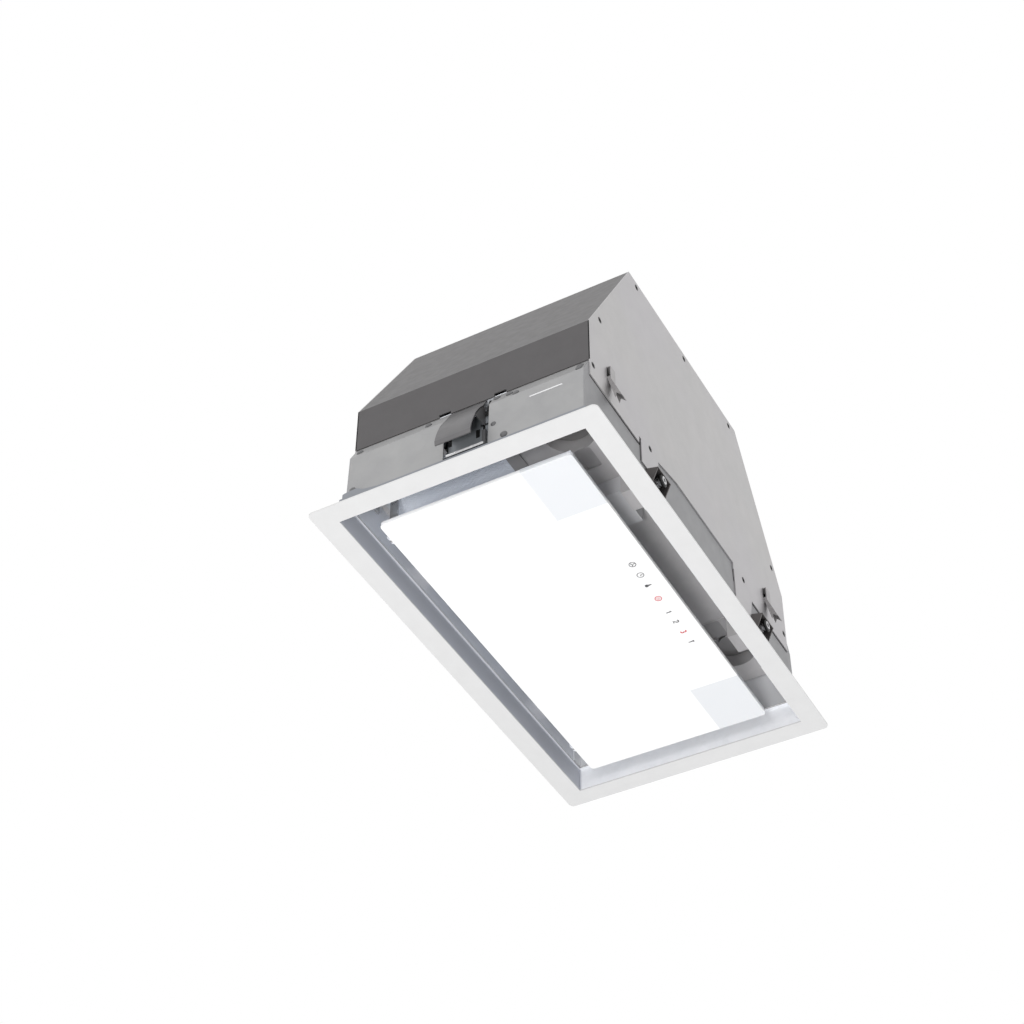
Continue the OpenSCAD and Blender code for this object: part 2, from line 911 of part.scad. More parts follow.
module capacitor() {
    color("white")
        translate([cap_x, cap_y, deck_top]) {
            cylinder(r = cap_r, h = cap_h);
            cylinder(r = cap_r + bracket_t, h = bracket_t);
            translate([0, 0, cap_h])
                cylinder(r = cap_r / 2, h = bracket_t);
        }
}
module blower_deck() {
    hole_x0 = fan_ax - scroll_r1;
    hole_l = scroll_r1 + scroll_half;
    color(zinc)
        difference() {
            translate([-cover_in + sheet_t, -inner_y, deck_z])
                cube([2 * (cover_in - sheet_t), 2 * inner_y, deck_t]);
            both_faces()
                translate([hole_x0, -inner_y + edge_step, deck_z - over])
                    cube([hole_l, inner_y - edge_step - scroll_half - flange_w, deck_t + 2 * over]);
        }
}

// Filter carrier, filters and lamps
module lamp_hole(r, z0, z1) {
    translate([-lamp_x, -lamp_y, z0])
        cylinder(r = r, h = z1 - z0);
}
module recess_hole(z0, z1) {
    translate([-lamp_x + recess_dx, -lamp_y, z0])
        linear_extrude(z1 - z0)
            rounded(recess_l / 2, recess_d / 2, recess_r);
}
module filter_carrier() {
    half = low_half - sheet_t - (low_half - bend_half) * (carrier_z - lip_h) / (bend_z - lip_h) - fit_gap;
    color(zinc)
        difference() {
            union() {
                translate([-half, -inner_y + sheet_t, carrier_z])
                    cube([2 * half, 2 * (inner_y - sheet_t), carrier_t]);
                both_faces()
                    translate([-half + flange_w, -inner_y, carrier_z])
                        cube([2 * (half - flange_w), sheet_t, flange_w]);
            }
            both_ends()
                translate([-filter_x - filter_l / 2 - fit_gap, filter_y - filter_d / 2 - fit_gap,
                    carrier_z - over])
                    cube([filter_l + 2 * fit_gap, filter_d + 2 * fit_gap, carrier_t + 2 * over]);
            both_ends() {
                lamp_hole(lamp_r + 2 * cup_t, carrier_z - over, carrier_z + 2 * over);
                recess_hole(carrier_z - over, carrier_z + 2 * over);
            }
            both_ends()
                translate([-half - over, port_y0 - 2 * sheet_t, carrier_z - over])
                    cube([2 * flange_w, port_y1 - port_y0 + 4 * sheet_t, carrier_t + 2 * over]);
            for (s = [-1, 1])
                translate([s * filter_x - latch_w / 2 - fit_gap,
                    filter_y - filter_d / 2 - filter_rim - latch_d, carrier_z - over])
                    cube([latch_w + 2 * fit_gap, latch_d, carrier_t + 2 * over]);
        }
}
module grease_filter() {
    slats = 15;
    pitch = (filter_l - 2 * filter_rim) / slats;
    color("silver")
        translate([-filter_x, filter_y, 0]) {
            translate([0, 0, carrier_z - filter_rim_t])
                linear_extrude(filter_rim_t)
                    difference() {
                        square([filter_l + 2 * filter_gap, filter_d + 2 * filter_rim], center = true);
                        square([filter_l - 2 * filter_rim, filter_d - 2 * filter_rim], center = true);
                    }
            translate([0, 0, carrier_z])
                linear_extrude(filter_h)
                    difference() {
                        square([filter_l, filter_d], center = true);
                        square([filter_l - 2 * filter_rim, filter_d - 2 * filter_rim], center = true);
                    }
            for (i = [0:slats - 1])
                translate([-filter_l / 2 + filter_rim + i * pitch, -filter_d / 2 + filter_rim,
                    carrier_z - filter_rim_t])
                    cube([pitch - filter_rim_t, filter_d - 2 * filter_rim, filter_rim_t]);
            for (i = [0:slats - 2])
                translate([-filter_l / 2 + filter_rim + (i + 1) * pitch - 2 * filter_rim_t,
                    -filter_d / 2 + filter_rim, carrier_z + filter_h - filter_rim_t])
                    cube([pitch / 2, filter_d - 2 * filter_rim, filter_rim_t]);
        }
}
module grease_filter_left() {
    grease_filter();
}
module grease_filter_right() {
    mirror([1, 0, 0])
        grease_filter();
}

// A sliding latch in front of its filter: the tongue under the rim holds the filter up
module filter_latch() {
    y1 = filter_y - filter_d / 2 - filter_rim;
    z1 = carrier_z - filter_rim_t;
    color(black)
        translate([-filter_x, 0, 0]) {
            translate([-latch_w / 2, y1 - latch_d / 2, z1 - latch_t])
                cube([latch_w, latch_d / 2 + filter_rim, latch_t]);
            translate([-latch_w / 2 + filter_gap, y1 - latch_d / 2, z1 - latch_t])
                cube([latch_w - 2 * filter_gap, latch_t, latch_t + filter_rim_t + carrier_t + latch_t]);
            translate([-latch_w / 2 - latch_wing, y1 - latch_d / 2, carrier_z + carrier_t])
                cube([latch_w + 2 * latch_wing, latch_t, latch_t]);
        }
}
module filter_latch_left() {
    filter_latch();
}
module filter_latch_right() {
    mirror([1, 0, 0])
        filter_latch();
}

module lamp_mount() {
    z0 = carrier_z - mount_t;
    end_x = low_half - 3 * sheet_t;
    color(steel)
        difference() {
            union() {
                translate([-end_x, -inner_y + sheet_t, z0])
                    cube([mount_l, mount_d, mount_t]);
                lamp_hole(lamp_r + cup_t, z0, carrier_z + lamp_depth);
            }
            lamp_hole(lamp_r, z0 - over, carrier_z + lamp_depth - cup_t);
            recess_hole(z0 - over, carrier_z + over);
        }
}
module lamp_mount_left() {
    lamp_mount();
}
module lamp_mount_right() {
    mirror([1, 0, 0])
        lamp_mount();
}
module lamp() {
    z1 = carrier_z + lamp_depth - cup_t;
    color("white") {
        lamp_hole(lamp_r - cup_t, z1 - lamp_h, z1);
        lamp_hole(lamp_r / 2, z1 - lamp_h - lens_h, z1 - lamp_h);
    }
}
module lamp_left() {
    lamp();
}
module lamp_right() {
    mirror([1, 0, 0])
        lamp();
}
module led_driver() {
    color(black)
        translate([driver_x - driver_l / 2, driver_y - driver_d / 2, carrier_z - driver_h])
            difference() {
                cube([driver_l, driver_d, driver_h]);
                for (i = [0:3])
                    translate([driver_l / 4 + i * driver_l / 6, -over, driver_h / 4])
                        cube([sheet_t, sheet_t + over, driver_h / 2]);
            }
}

// Control box
module control_box() {
    color(black)
        translate([box_x0, box_y0, deck_top])
            difference() {
                cube([box_l, box_d, box_h]);
                translate([box_t, box_t, box_t])
                    cube([box_l - 2 * box_t, box_d - 2 * box_t, box_h]);
                translate([box_l / 2, box_d + over, box_h / 2])
                    rotate([90, 0, 0])
                        cylinder(r = gland_bore, h = box_t + 2 * over);
            }
}
module control_lid() {
    color(dark)
        translate([box_x0, box_y0, deck_top + box_h])
            union() {
                cube([box_l, box_d, box_t]);
                translate([box_t + fit_gap, box_t + fit_gap, -box_t])
                    cube([box_l - 2 * (box_t + fit_gap), box_d - 2 * (box_t + fit_gap), box_t]);
            }
}
module control_board() {
    color("green")
        translate([box_x0 + 2 * box_t, box_y0 + 2 * box_t, deck_top + box_t]) {
            translate([0, 0, board_z])
                cube([box_l - 4 * box_t, box_d - 4 * box_t, board_t]);
            for (x = [box_t, box_l - 6 * box_t], y = [box_t, box_d - 6 * box_t])
                translate([x, y, 0])
                    cylinder(r = box_t, h = board_z);
            for (i = [0:2])
                translate([relay_w + i * relay_pitch, relay_w, board_z + board_t])
                    cube([relay_w, relay_w, relay_w]);
        }
}
module cable_gland() {
    color(black)
        translate([gland_x, gland_y, 0])
            difference() {
                union() {
                    translate([0, 0, top_in - gland_r])
                        cylinder(r = gland_r, h = gland_h + gland_r);
                    translate([0, 0, top_z])
                        cylinder(r = gland_nut_r, h = gland_r / 2, $fn = 6);
                    translate([0, 0, top_in - gland_r / 2])
                        cylinder(r = gland_nut_r, h = gland_r / 2, $fn = 6);
                }
                translate([0, 0, top_in - 2 * gland_r])
                    cylinder(r = gland_bore, h = 2 * (gland_h + gland_r));
            }
}

// Panel
module glass_panel() {
    color("white")
        translate([0, 0, glass_z])
            linear_extrude(glass_t)
                rounded(glass_hx, glass_hy, glass_r);
}
module tray_plan(inset) {
    difference() {
        square([2 * (tray_hx - inset), 2 * (tray_hy - inset)], center = true);
        for (s = [-1, 1])
            translate([s * glass_hx, -glass_hy])
                square([2 * (window_l + tray_inset / 2 + inset), 2 * (window_d + tray_inset / 2 + inset)],
                    center = true);
    }
}
module hinge_ear(x) {
    translate([x, 0, 0])
        rotate([90, 0, 90])
            linear_extrude(arm_t)
                difference() {
                    union() {
                        translate([hinge_y, hinge_z])
                            circle(r = hinge_r);
                        translate([tray_hy - tray_t, hinge_z - hinge_r])
                            square([hinge_y - tray_hy + tray_t, 2 * hinge_r]);
                    }
                    translate([hinge_y, hinge_z])
                        circle(r = pin_r + run_gap);
                }
}
module panel_tray() {
    color(zinc) {
        difference() {
            union() {
                translate([0, 0, glass_top])
                    linear_extrude(tray_t)
                        tray_plan(0);
                translate([0, 0, glass_top])
                    linear_extrude(tray_h - glass_top)
                        difference() {
                            tray_plan(0);
                            tray_plan(tray_t);
                        }
                both_ends()
                    for (x = [hinge_x - arm_t - ear_gap, hinge_x + arm_t + ear_gap])
                        hinge_ear(x);
            }
            translate([board_x0 - fit_gap, touch_y - touch_d / 2 - fit_gap, glass_top - over])
                cube([board_x1 - board_x0 + 2 * fit_gap, touch_d + 2 * fit_gap, tray_t + 2 * over]);
        }
    }
}
module touch_board() {
    color("green")
        translate([0, 0, glass_top]) {
            translate([board_x0, touch_y - touch_d / 2, 0])
                cube([board_x1 - board_x0, touch_d, board_t]);
            translate([board_x1 - touch_d, touch_y - touch_d / 3, board_t])
                cube([touch_d / 2, touch_d / 2, board_z / 2]);
        }
}
module lamp_diffusers() {
    color("white")
        both_ends()
            translate([-glass_hx + over, -glass_hy + over, glass_top])
                cube([window_l - over, window_d - over, diffuser_t]);
}
module hinge_arm() {
    color(steel)
        translate([hinge_x, 0, 0]) {
            rotate([90, 0, 90])
                linear_extrude(arm_t)
                    difference() {
                        union() {
                            translate([hinge_y, hinge_z])
                                circle(r = hinge_r);
                            translate([hinge_y - hinge_r, hinge_z])
                                square([2 * hinge_r, carrier_z - filter_rim_t - fit_gap - hinge_z]);
                        }
                        translate([hinge_y, hinge_z])
                            circle(r = pin_r + run_gap);
                    }
            translate([0, hinge_y - hinge_r, carrier_z - filter_rim_t - fit_gap - arm_t])
                cube([arm_foot, inner_y - hinge_y + hinge_r, arm_t]);
            translate([0, inner_y - arm_t, carrier_z - filter_rim_t - fit_gap - arm_foot])
                cube([arm_foot, arm_t, arm_foot]);
        }
}
module panel_hinges() {
    both_ends()
        hinge_arm();
}
module hinge_pins() {
    color(steel)
        both_ends()
            translate([hinge_x - 2 * arm_t - ear_gap, hinge_y, hinge_z])
                rotate([0, 90, 0])
                    cylinder(r = pin_r, h = 6 * arm_t);
}
module catch_post() {
    color(dark)
        translate([catch_x, catch_y, 0]) {
            translate([-catch_w / 2, -catch_w / 2, tray_h + magnet_h])
                cube([catch_w, catch_w, post_t]);
            translate([-catch_w / 2, catch_w / 2 - post_t, tray_h + magnet_h])
                cube([catch_w, post_t, carrier_z - tray_h - magnet_h]);
            translate([-catch_w / 2, catch_w / 2 - post_t, carrier_z - post_t])
                cube([catch_w, catch_w / 2, post_t]);
            translate([0, 0, tray_h + fit_gap])
                cylinder(r = catch_w / 2 - over, h = magnet_h - fit_gap);
        }
}
module catch_magnets() {
    both_ends()
        catch_post();
}
module strike_plates() {
    color(steel)
        both_ends()
            translate([catch_x - strike_w / 2, catch_y - catch_w / 2, glass_top + tray_t]) {
                translate([0, 0, tray_h - glass_top - 2 * tray_t])
                    cube([strike_w, catch_w, tray_t]);
                cube([tray_t, catch_w, tray_h - glass_top - tray_t]);
                translate([strike_w - tray_t, 0, 0])
                    cube([tray_t, catch_w, tray_h - glass_top - tray_t]);
            }
}

// Cabinet fixings
// A channel-shaped spring clip that rocks on the lower edge of its window in the side plate
module clip_flange() {
    ear = side_t + sheet_t + clip_ear;
    rotate([90, 0, 90])
        linear_extrude(clip_t)
            polygon([[0, 0], [ear, 0], [ear, clip_ear], [-clip_root, clip_ear],
                [-clip_root, -clip_root / 2], [-clip_reach, -clip_drop],
                [-clip_prong - clip_root / 2, clip_notch - clip_drop], [-clip_prong, -clip_drop]]);
}
module spring_clip(x) {
    web_share = 1 - clip_notch / (clip_drop - clip_root / 2);
    web_end = -clip_root - (clip_reach - clip_root) * web_share;
    color(zinc)
        translate([x, -side_y - fit_gap, clip_z])
            union() {
                for (dx = [-clip_w / 2, clip_w / 2 - clip_t])
                    translate([dx, 0, 0])
                        clip_flange();
                translate([-clip_w / 2, 0, 0])
                    rotate([90, 0, 90])
                        linear_extrude(clip_w)
                            polygon([[-clip_root, -clip_root / 2], [web_end, clip_notch - clip_drop],
                                [web_end + clip_t, clip_notch - clip_drop],
                                [-clip_root + clip_t, -clip_root / 2],
                                [-clip_root + clip_t, clip_up - clip_t],
                                [clip_root, clip_up - clip_t], [clip_root, clip_up],
                                [-clip_root, clip_up]]);
            }
}
module clip_front_left() {
    spring_clip(clip_x0);
}
module clip_front_right() {
    spring_clip(clip_x1);
}
module clip_rear_left() {
    mirror([0, 1, 0])
        spring_clip(clip_x0);
}
module clip_rear_right() {
    mirror([0, 1, 0])
        spring_clip(clip_x1);
}

// The arched lever over the end plate window, hinged on a rod behind it
module lever_arc(r0, r1, a0, a1) {
    steps = 14;
    polygon(concat([for (i = [0:steps]) let (a = a0 + (a1 - a0) * i / steps) [r1 * cos(a), r1 * sin(a)]],
        [for (i = [steps:-1:0]) let (a = a0 + (a1 - a0) * i / steps) [r0 * cos(a), r0 * sin(a)]]));
}
module clamp_lever() {
    y0 = port_y0 + lever_side_front;
    y1 = port_y1 - lever_side_rear;
    cheek_a = 175;
    color(dark)
        translate([-lever_x, y1, lever_z])
            rotate([90, 0, 0])
                difference() {
                    union() {
                        linear_extrude(y1 - y0)
                            lever_arc(lever_r - lever_t, lever_r, lever_a0, lever_a1);
                        for (z = [0, y1 - y0 - lever_t])
                            translate([0, 0, z])
                                linear_extrude(lever_t)
                                    union() {
                                        lever_arc(lever_rod_r, lever_r, lever_a0, cheek_a);
                                        circle(r = 2 * lever_rod_r);
                                    }
                    }
                    translate([0, 0, -over])
                        cylinder(r = lever_rod_r + run_gap, h = y1 - y0 + 2 * over);
                }
}
module clamp_lever_left() {
    clamp_lever();
}
module clamp_lever_right() {
    mirror([1, 0, 0])
        clamp_lever();
}
module clamp_rods() {
    color("silver")
        both_ends() {
            rod_y(-lever_x, lever_z, lever_rod_r, port_y0 - over, port_y1 + over);
            rod_y(-plate_x - rod2_r - sheet_t, rod2_z, rod2_r, port_y0 + over, port_y1 - over);
        }
}

// The slotted plate in the window, with two side cheeks that carry the lever's rod
module clamp_plate() {
    w = port_y1 - port_y0;
    slot = 5;
    cheek_d = 12;
    color(steel)
        difference() {
            union() {
                translate([-plate_x, port_y0 - sheet_t, port_z])
                    cube([sheet_t, w + 2 * sheet_t, plate_h]);
                for (y = [port_y0 - sheet_t, port_y1])
                    translate([-plate_x, y, port_z])
                        cube([cheek_d, sheet_t, lever_z - port_z + 2 * lever_rod_r]);
                translate([-low_half + 2 * sheet_t, port_y0 - sheet_t, port_z - sheet_t])
                    cube([low_half - plate_x - sheet_t, w + 2 * sheet_t, sheet_t]);
            }
            for (y = [port_y0 + slot, port_y1 - 2 * slot])
                translate([-plate_x - over, y, port_z + slot + rod2_r])
                    cube([sheet_t + 2 * over, slot / 2, slot]);
            rod_y(-lever_x, lever_z, lever_rod_r + run_gap, -side_y, side_y);
        }
}
module clamp_plates() {
    both_ends()
        clamp_plate();
}

// A folded bracket on the front wall: a back plate, two cheeks and a sloping roof over the bolt
module clamp_bracket(x) {
    top = clamp_z + bracket_up;
    tip = [-side_y - bracket_out, top - bracket_drop];
    color(black)
        difference() {
            union() {
                translate([x - bracket_w / 2, -side_y + fit_gap, clamp_z - bracket_down])
                    cube([bracket_w, side_t - fit_gap, bracket_up + bracket_down]);
                for (dx = [-bracket_w / 2, bracket_w / 2 - bracket_sheet])
                    translate([x + dx, 0, 0])
                        rotate([90, 0, 90])
                            linear_extrude(bracket_sheet)
                                polygon([[-wall_y, top], tip, [-side_y - bracket_out / 2,
                                    clamp_z - bracket_down / 2], [-wall_y, clamp_z - bracket_down]]);
                translate([x - bracket_w / 2, 0, 0])
                    rotate([90, 0, 90])
                        linear_extrude(bracket_w)
                            polygon([[-wall_y, top], tip, tip - [0, bracket_sheet],
                                [-wall_y, top - bracket_sheet]]);
            }
            rod_y(x, clamp_z, bolt_r + run_gap, -frame_d, -inner_y);
        }
}
module clamp_brackets() {
    both_faces()
        for (x = [clamp_x0, clamp_x1])
            clamp_bracket(x);
}
module clamp_bolt(x) {
    y0 = -side_y + fit_gap;
    difference() {
        union() {
            rod_y(x, clamp_z, bolt_r, y0 - bolt_out, -inner_y + guide_d / 2);
            rod_y(x, clamp_z, washer_r, y0 - washer_t, y0);
            translate([x, y0 - washer_t, clamp_z])
                rotate([90, 0, 0])
                    cylinder(r = nut_r, h = nut_h, $fn = 6);
            rod_y(x, clamp_z, cap_head_r, y0 - bolt_out, y0 - bolt_out + cap_head_h);
        }
        rod_y(x, clamp_z, socket_r, y0 - bolt_out - over, y0 - bolt_out + socket_d);
    }
}
module clamp_bolts() {
    color("silver")
        both_faces()
            for (x = [clamp_x0, clamp_x1])
                clamp_bolt(x);
}
module clamp_guide(x) {
    slot = 2;
    color(zinc)
        translate([x - guide_w / 2, -inner_y, guide_z])
            difference() {
                cube([guide_w, guide_d, guide_h]);
                translate([sheet_t, -over, sheet_t])
                    cube([guide_w - 2 * sheet_t, guide_d - sheet_t + over, guide_h]);
                for (k = [0, 1])
                    translate([guide_w / 3 + k * 2 * slot, guide_d / 3 + k * slot, -over])
                        cube([slot, 2 * slot, sheet_t + 2 * over]);
            }
}
module clamp_guides() {
    both_faces()
        for (x = [clamp_x0, clamp_x1])
            clamp_guide(x);
}

trim_frame();
lip_collar();
chassis_front();
chassis_rear();
end_plate_left();
end_plate_right();
side_plate_front();
side_plate_rear();
top_cover();
cover_ends();
collar_flange();
outlet_collar();
damper_rod();
damper_flap_left();
damper_flap_right();
scroll_wrap();
scroll_cheek_front();
scroll_cheek_rear();
impeller();
motor_shaft();
motor_body();
motor_bracket();
motor_bushes();
capacitor();
blower_deck();
filter_carrier();
grease_filter_left();
grease_filter_right();
filter_latch_left();
filter_latch_right();
lamp_mount_left();
lamp_mount_right();
lamp_left();
lamp_right();
led_driver();
control_box();
control_lid();
control_board();
cable_gland();
glass_panel();
panel_tray();
touch_board();
lamp_diffusers();
panel_hinges();
hinge_pins();
catch_magnets();
strike_plates();
clip_front_left();
clip_front_right();
clip_rear_left();
clip_rear_right();
clamp_lever_left();
clamp_lever_right();
clamp_rods();
clamp_plates();
clamp_brackets();
clamp_bolts();
clamp_guides();
case_screws();
end_screws();
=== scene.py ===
import json
import math
import bpy
import bmesh
from mathutils import Matrix, Vector


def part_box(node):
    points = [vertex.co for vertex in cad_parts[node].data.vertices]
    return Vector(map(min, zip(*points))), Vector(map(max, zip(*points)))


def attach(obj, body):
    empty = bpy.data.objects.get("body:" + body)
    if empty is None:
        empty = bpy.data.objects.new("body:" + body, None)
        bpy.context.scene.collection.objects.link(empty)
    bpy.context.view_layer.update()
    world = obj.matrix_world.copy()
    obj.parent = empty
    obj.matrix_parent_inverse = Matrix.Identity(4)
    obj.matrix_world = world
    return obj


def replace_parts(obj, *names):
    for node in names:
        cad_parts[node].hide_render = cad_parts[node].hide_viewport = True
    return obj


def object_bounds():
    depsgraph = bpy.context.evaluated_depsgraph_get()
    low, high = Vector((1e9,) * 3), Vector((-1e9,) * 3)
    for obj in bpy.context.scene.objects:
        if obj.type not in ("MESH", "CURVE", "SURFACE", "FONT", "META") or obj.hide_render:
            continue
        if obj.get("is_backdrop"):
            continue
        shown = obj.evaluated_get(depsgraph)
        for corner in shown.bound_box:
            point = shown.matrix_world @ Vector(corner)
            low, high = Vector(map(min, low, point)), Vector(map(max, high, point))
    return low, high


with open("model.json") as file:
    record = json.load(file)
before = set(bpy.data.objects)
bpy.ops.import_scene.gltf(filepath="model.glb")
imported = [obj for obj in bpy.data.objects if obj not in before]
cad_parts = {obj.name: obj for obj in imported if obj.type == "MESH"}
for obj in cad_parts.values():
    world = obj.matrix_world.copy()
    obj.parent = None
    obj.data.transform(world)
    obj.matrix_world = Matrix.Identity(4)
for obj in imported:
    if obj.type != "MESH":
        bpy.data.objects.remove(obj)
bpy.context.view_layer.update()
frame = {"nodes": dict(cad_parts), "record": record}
nodes = frame["nodes"]
scene = bpy.context.scene
scene.view_settings.view_transform = "Standard"

# one millimetre in metres, a right angle, and the two ends with the words in their names
MM = 0.001
RIGHT_ANGLE = math.radians(90)
ENDS = ((-1, "left"), (1, "right"))

# camera, solved from the photograph
SENSOR_WIDTH = 36.0
FOCAL_LENGTH = 74.513
CLIP_NEAR = 0.05
CLIP_FAR = 60.0
CAM_PLACE = (-1.32951, -0.66341, -1.23977)
CAM_RIGHT = Vector((0.48116, -0.87662, 0.00487))
CAM_DOWN = Vector((0.59921, 0.32483, -0.73173))
CAM_AHEAD = Vector((0.63986, 0.355, 0.68158))


def add_camera():
    data = bpy.data.cameras.new("cam")
    data.sensor_width = SENSOR_WIDTH
    data.lens = FOCAL_LENGTH
    data.clip_start = CLIP_NEAR
    data.clip_end = CLIP_FAR
    cam = bpy.data.objects.new("cam", data)
    scene.collection.objects.link(cam)
    turn = Matrix((CAM_RIGHT, -CAM_DOWN, -CAM_AHEAD)).transposed().to_4x4()
    cam.matrix_world = Matrix.Translation(CAM_PLACE) @ turn
    scene.camera = cam


add_camera()


# node helpers
def lin(c):
    """A display value from 0 to 255 as linear light."""
    c = c / 255.0
    return c / 12.92 if c <= 0.04045 else ((c + 0.055) / 1.055) ** 2.4


def rgb(r, g, b):
    return (lin(r), lin(g), lin(b), 1.0)


def put(nt, kind, **values):
    n = nt.nodes.new(kind)
    for k, v in values.items():
        setattr(n, k, v)
    return n


def maths(nt, operation, a, b=None):
    """The output of a math node over one or two outputs."""
    n = put(nt, "ShaderNodeMath", operation=operation)
    nt.links.new(a, n.inputs[0])
    if b is not None:
        nt.links.new(b, n.inputs[1])
    return n.outputs[0]


def noise(nt, scale, detail, stretch=(1, 1, 1)):
    tc = put(nt, "ShaderNodeTexCoord")
    mp = put(nt, "ShaderNodeMapping")
    mp.inputs["Scale"].default_value = stretch
    nt.links.new(tc.outputs["Object"], mp.inputs["Vector"])
    n = put(nt, "ShaderNodeTexNoise")
    n.inputs["Scale"].default_value = scale
    n.inputs["Detail"].default_value = detail
    nt.links.new(mp.outputs["Vector"], n.inputs["Vector"])
    return n.outputs["Fac"]


def spread(nt, source, lo, hi, low=0.3, high=0.7):
    """Maps a source from the range low to high on to the range lo to hi."""
    m = put(nt, "ShaderNodeMapRange")
    m.inputs["From Min"].default_value = low
    m.inputs["From Max"].default_value = high
    m.inputs["To Min"].default_value = lo
    m.inputs["To Max"].default_value = hi
    nt.links.new(source, m.inputs["Value"])
    return m.outputs["Result"]


def blend(nt, factor, a, b):
    """A mix of two colours, each a value or an output."""
    m = put(nt, "ShaderNodeMix", data_type="RGBA", blend_type="MIX")
    nt.links.new(factor, m.inputs["Factor"])
    for value, socket in ((a, m.inputs["A"]), (b, m.inputs["B"])):
        if isinstance(value, tuple):
            socket.default_value = value
        else:
            nt.links.new(value, socket)
    return m.outputs["Result"]


def bumped(nt, p, height, strength, depth):
    bump = put(nt, "ShaderNodeBump")
    bump.inputs["Strength"].default_value = strength
    bump.inputs["Distance"].default_value = depth
    nt.links.new(height, bump.inputs["Height"])
    nt.links.new(bump.outputs["Normal"], p.inputs["Normal"])


def parts_of(nt, output):
    """The X, Y and Z of a texture coordinate, by letter."""
    tc = put(nt, "ShaderNodeTexCoord")
    xyz = put(nt, "ShaderNodeSeparateXYZ")
    nt.links.new(tc.outputs[output], xyz.inputs["Vector"])
    return xyz.outputs


def base_colour(m):
    """A material's nodes, its shader and what feeds the base colour."""
    nt = m.node_tree
    p = nt.nodes["Principled BSDF"]
    return nt, p, p.inputs["Base Color"].links[0].from_socket


# one shader for all: two close colours mixed by noise, zinc flowers, painted sheen over large patches
# standing for reflection bands, grain as bump, and varied roughness
COLOUR_DETAIL = 4.0
SPANGLE_SCALE = 150.0
SHEEN_SCALE = 7.0
SHEEN_DETAIL = 1.0
SHEEN_RANGE = (0.4, 0.6)
ROUGH_SCALE_RATIO = 1.7
ROUGH_DETAIL = 3.0
GRAIN_DETAIL = 2.0
GRAIN_DEPTH = 0.2 * MM
COAT_ROUGHNESS = 0.06


def spangled(nt, col, amount):
    """Zinc flowers: cells that are each a little lighter or darker."""
    tc = put(nt, "ShaderNodeTexCoord")
    cells = put(nt, "ShaderNodeTexVoronoi")
    cells.inputs["Scale"].default_value = SPANGLE_SCALE
    nt.links.new(tc.outputs["Object"], cells.inputs["Vector"])
    shade = spread(nt, cells.outputs["Color"], 1.0 - amount, 1.0 + amount, 0.0, 1.0)
    grey = put(nt, "ShaderNodeCombineColor")
    for channel in ("Red", "Green", "Blue"):
        nt.links.new(shade, grey.inputs[channel])
    mul = put(nt, "ShaderNodeMix", data_type="RGBA", blend_type="MULTIPLY")
    mul.inputs["Factor"].default_value = 1.0
    nt.links.new(col, mul.inputs["A"])
    nt.links.new(grey.outputs["Color"], mul.inputs["B"])
    return mul.outputs["Result"]


def surface(name, a, b, rough=(0.4, 0.5), metal=0.0, scale=60.0, stretch=(1, 1, 1), spangle=0.0,
            grain=0.0, grain_scale=900.0, painted_sheen=None, coat=0.0):
    m = bpy.data.materials.new(name)
    m.use_nodes = True
    nt = m.node_tree
    p = nt.nodes["Principled BSDF"]
    col = blend(nt, spread(nt, noise(nt, scale, COLOUR_DETAIL, stretch), 0.0, 1.0), a, b)
    if spangle:
        col = spangled(nt, col, spangle)
    # painted reflection: large patches of a second colour stand for reflection bands
    if painted_sheen:
        patches = spread(nt, noise(nt, SHEEN_SCALE, SHEEN_DETAIL), 0.0, 1.0, *SHEEN_RANGE)
        col = blend(nt, patches, col, painted_sheen)
    nt.links.new(col, p.inputs["Base Color"])
    wear = noise(nt, scale * ROUGH_SCALE_RATIO, ROUGH_DETAIL, stretch)
    nt.links.new(spread(nt, wear, rough[0], rough[1]), p.inputs["Roughness"])
    p.inputs["Metallic"].default_value = metal
    p.inputs["Coat Weight"].default_value = coat
    if coat:
        p.inputs["Coat Roughness"].default_value = COAT_ROUGHNESS
    if grain:
        bumped(nt, p, noise(nt, grain_scale, GRAIN_DETAIL), grain, GRAIN_DEPTH)
    return m


# the glass panel: white and back-painted, with two paler, bluish lamp windows in the front corners
LAMP_WINDOW_X = (0.1338, 0.1344)
LAMP_WINDOW_Y = (-0.0453, -0.0447)
LAMP_WINDOW_COLOUR = rgb(223, 225, 228)
GLASS_SUBSURFACE = 0.5
GLASS_SUBSURFACE_DEPTH = 0.005


def glass_material():
    m = surface("m_glass", rgb(252, 252, 252), rgb(250, 250, 251), rough=(0.05, 0.09), coat=0.6)
    nt, p, col = base_colour(m)
    at = parts_of(nt, "Object")
    beside = spread(nt, maths(nt, "ABSOLUTE", at["X"]), 0.0, 1.0, *LAMP_WINDOW_X)
    before = spread(nt, at["Y"], 1.0, 0.0, *LAMP_WINDOW_Y)
    window = maths(nt, "MULTIPLY", beside, before)
    nt.links.new(blend(nt, window, col, LAMP_WINDOW_COLOUR), p.inputs["Base Color"])
    p.inputs["Subsurface Weight"].default_value = GLASS_SUBSURFACE
    p.inputs["Subsurface Radius"].default_value = (1.0, 1.0, 1.0)
    p.inputs["Subsurface Scale"].default_value = GLASS_SUBSURFACE_DEPTH
    return m


# the lip: zinc with painted light and shade: painted near white on its inner faces as if lit,
# and painted darker outside and on its rear wall as shaded
LIP_OUTSIDE = (("X", 0.2259), ("Y", 0.1199))
LIP_EDGE = 0.0002
LIP_REAR_Y = (0.117, 0.119)
LIP_REAR_SHADE = rgb(176, 179, 187)
LIP_OUTSIDE_SHADE = rgb(132, 135, 141)


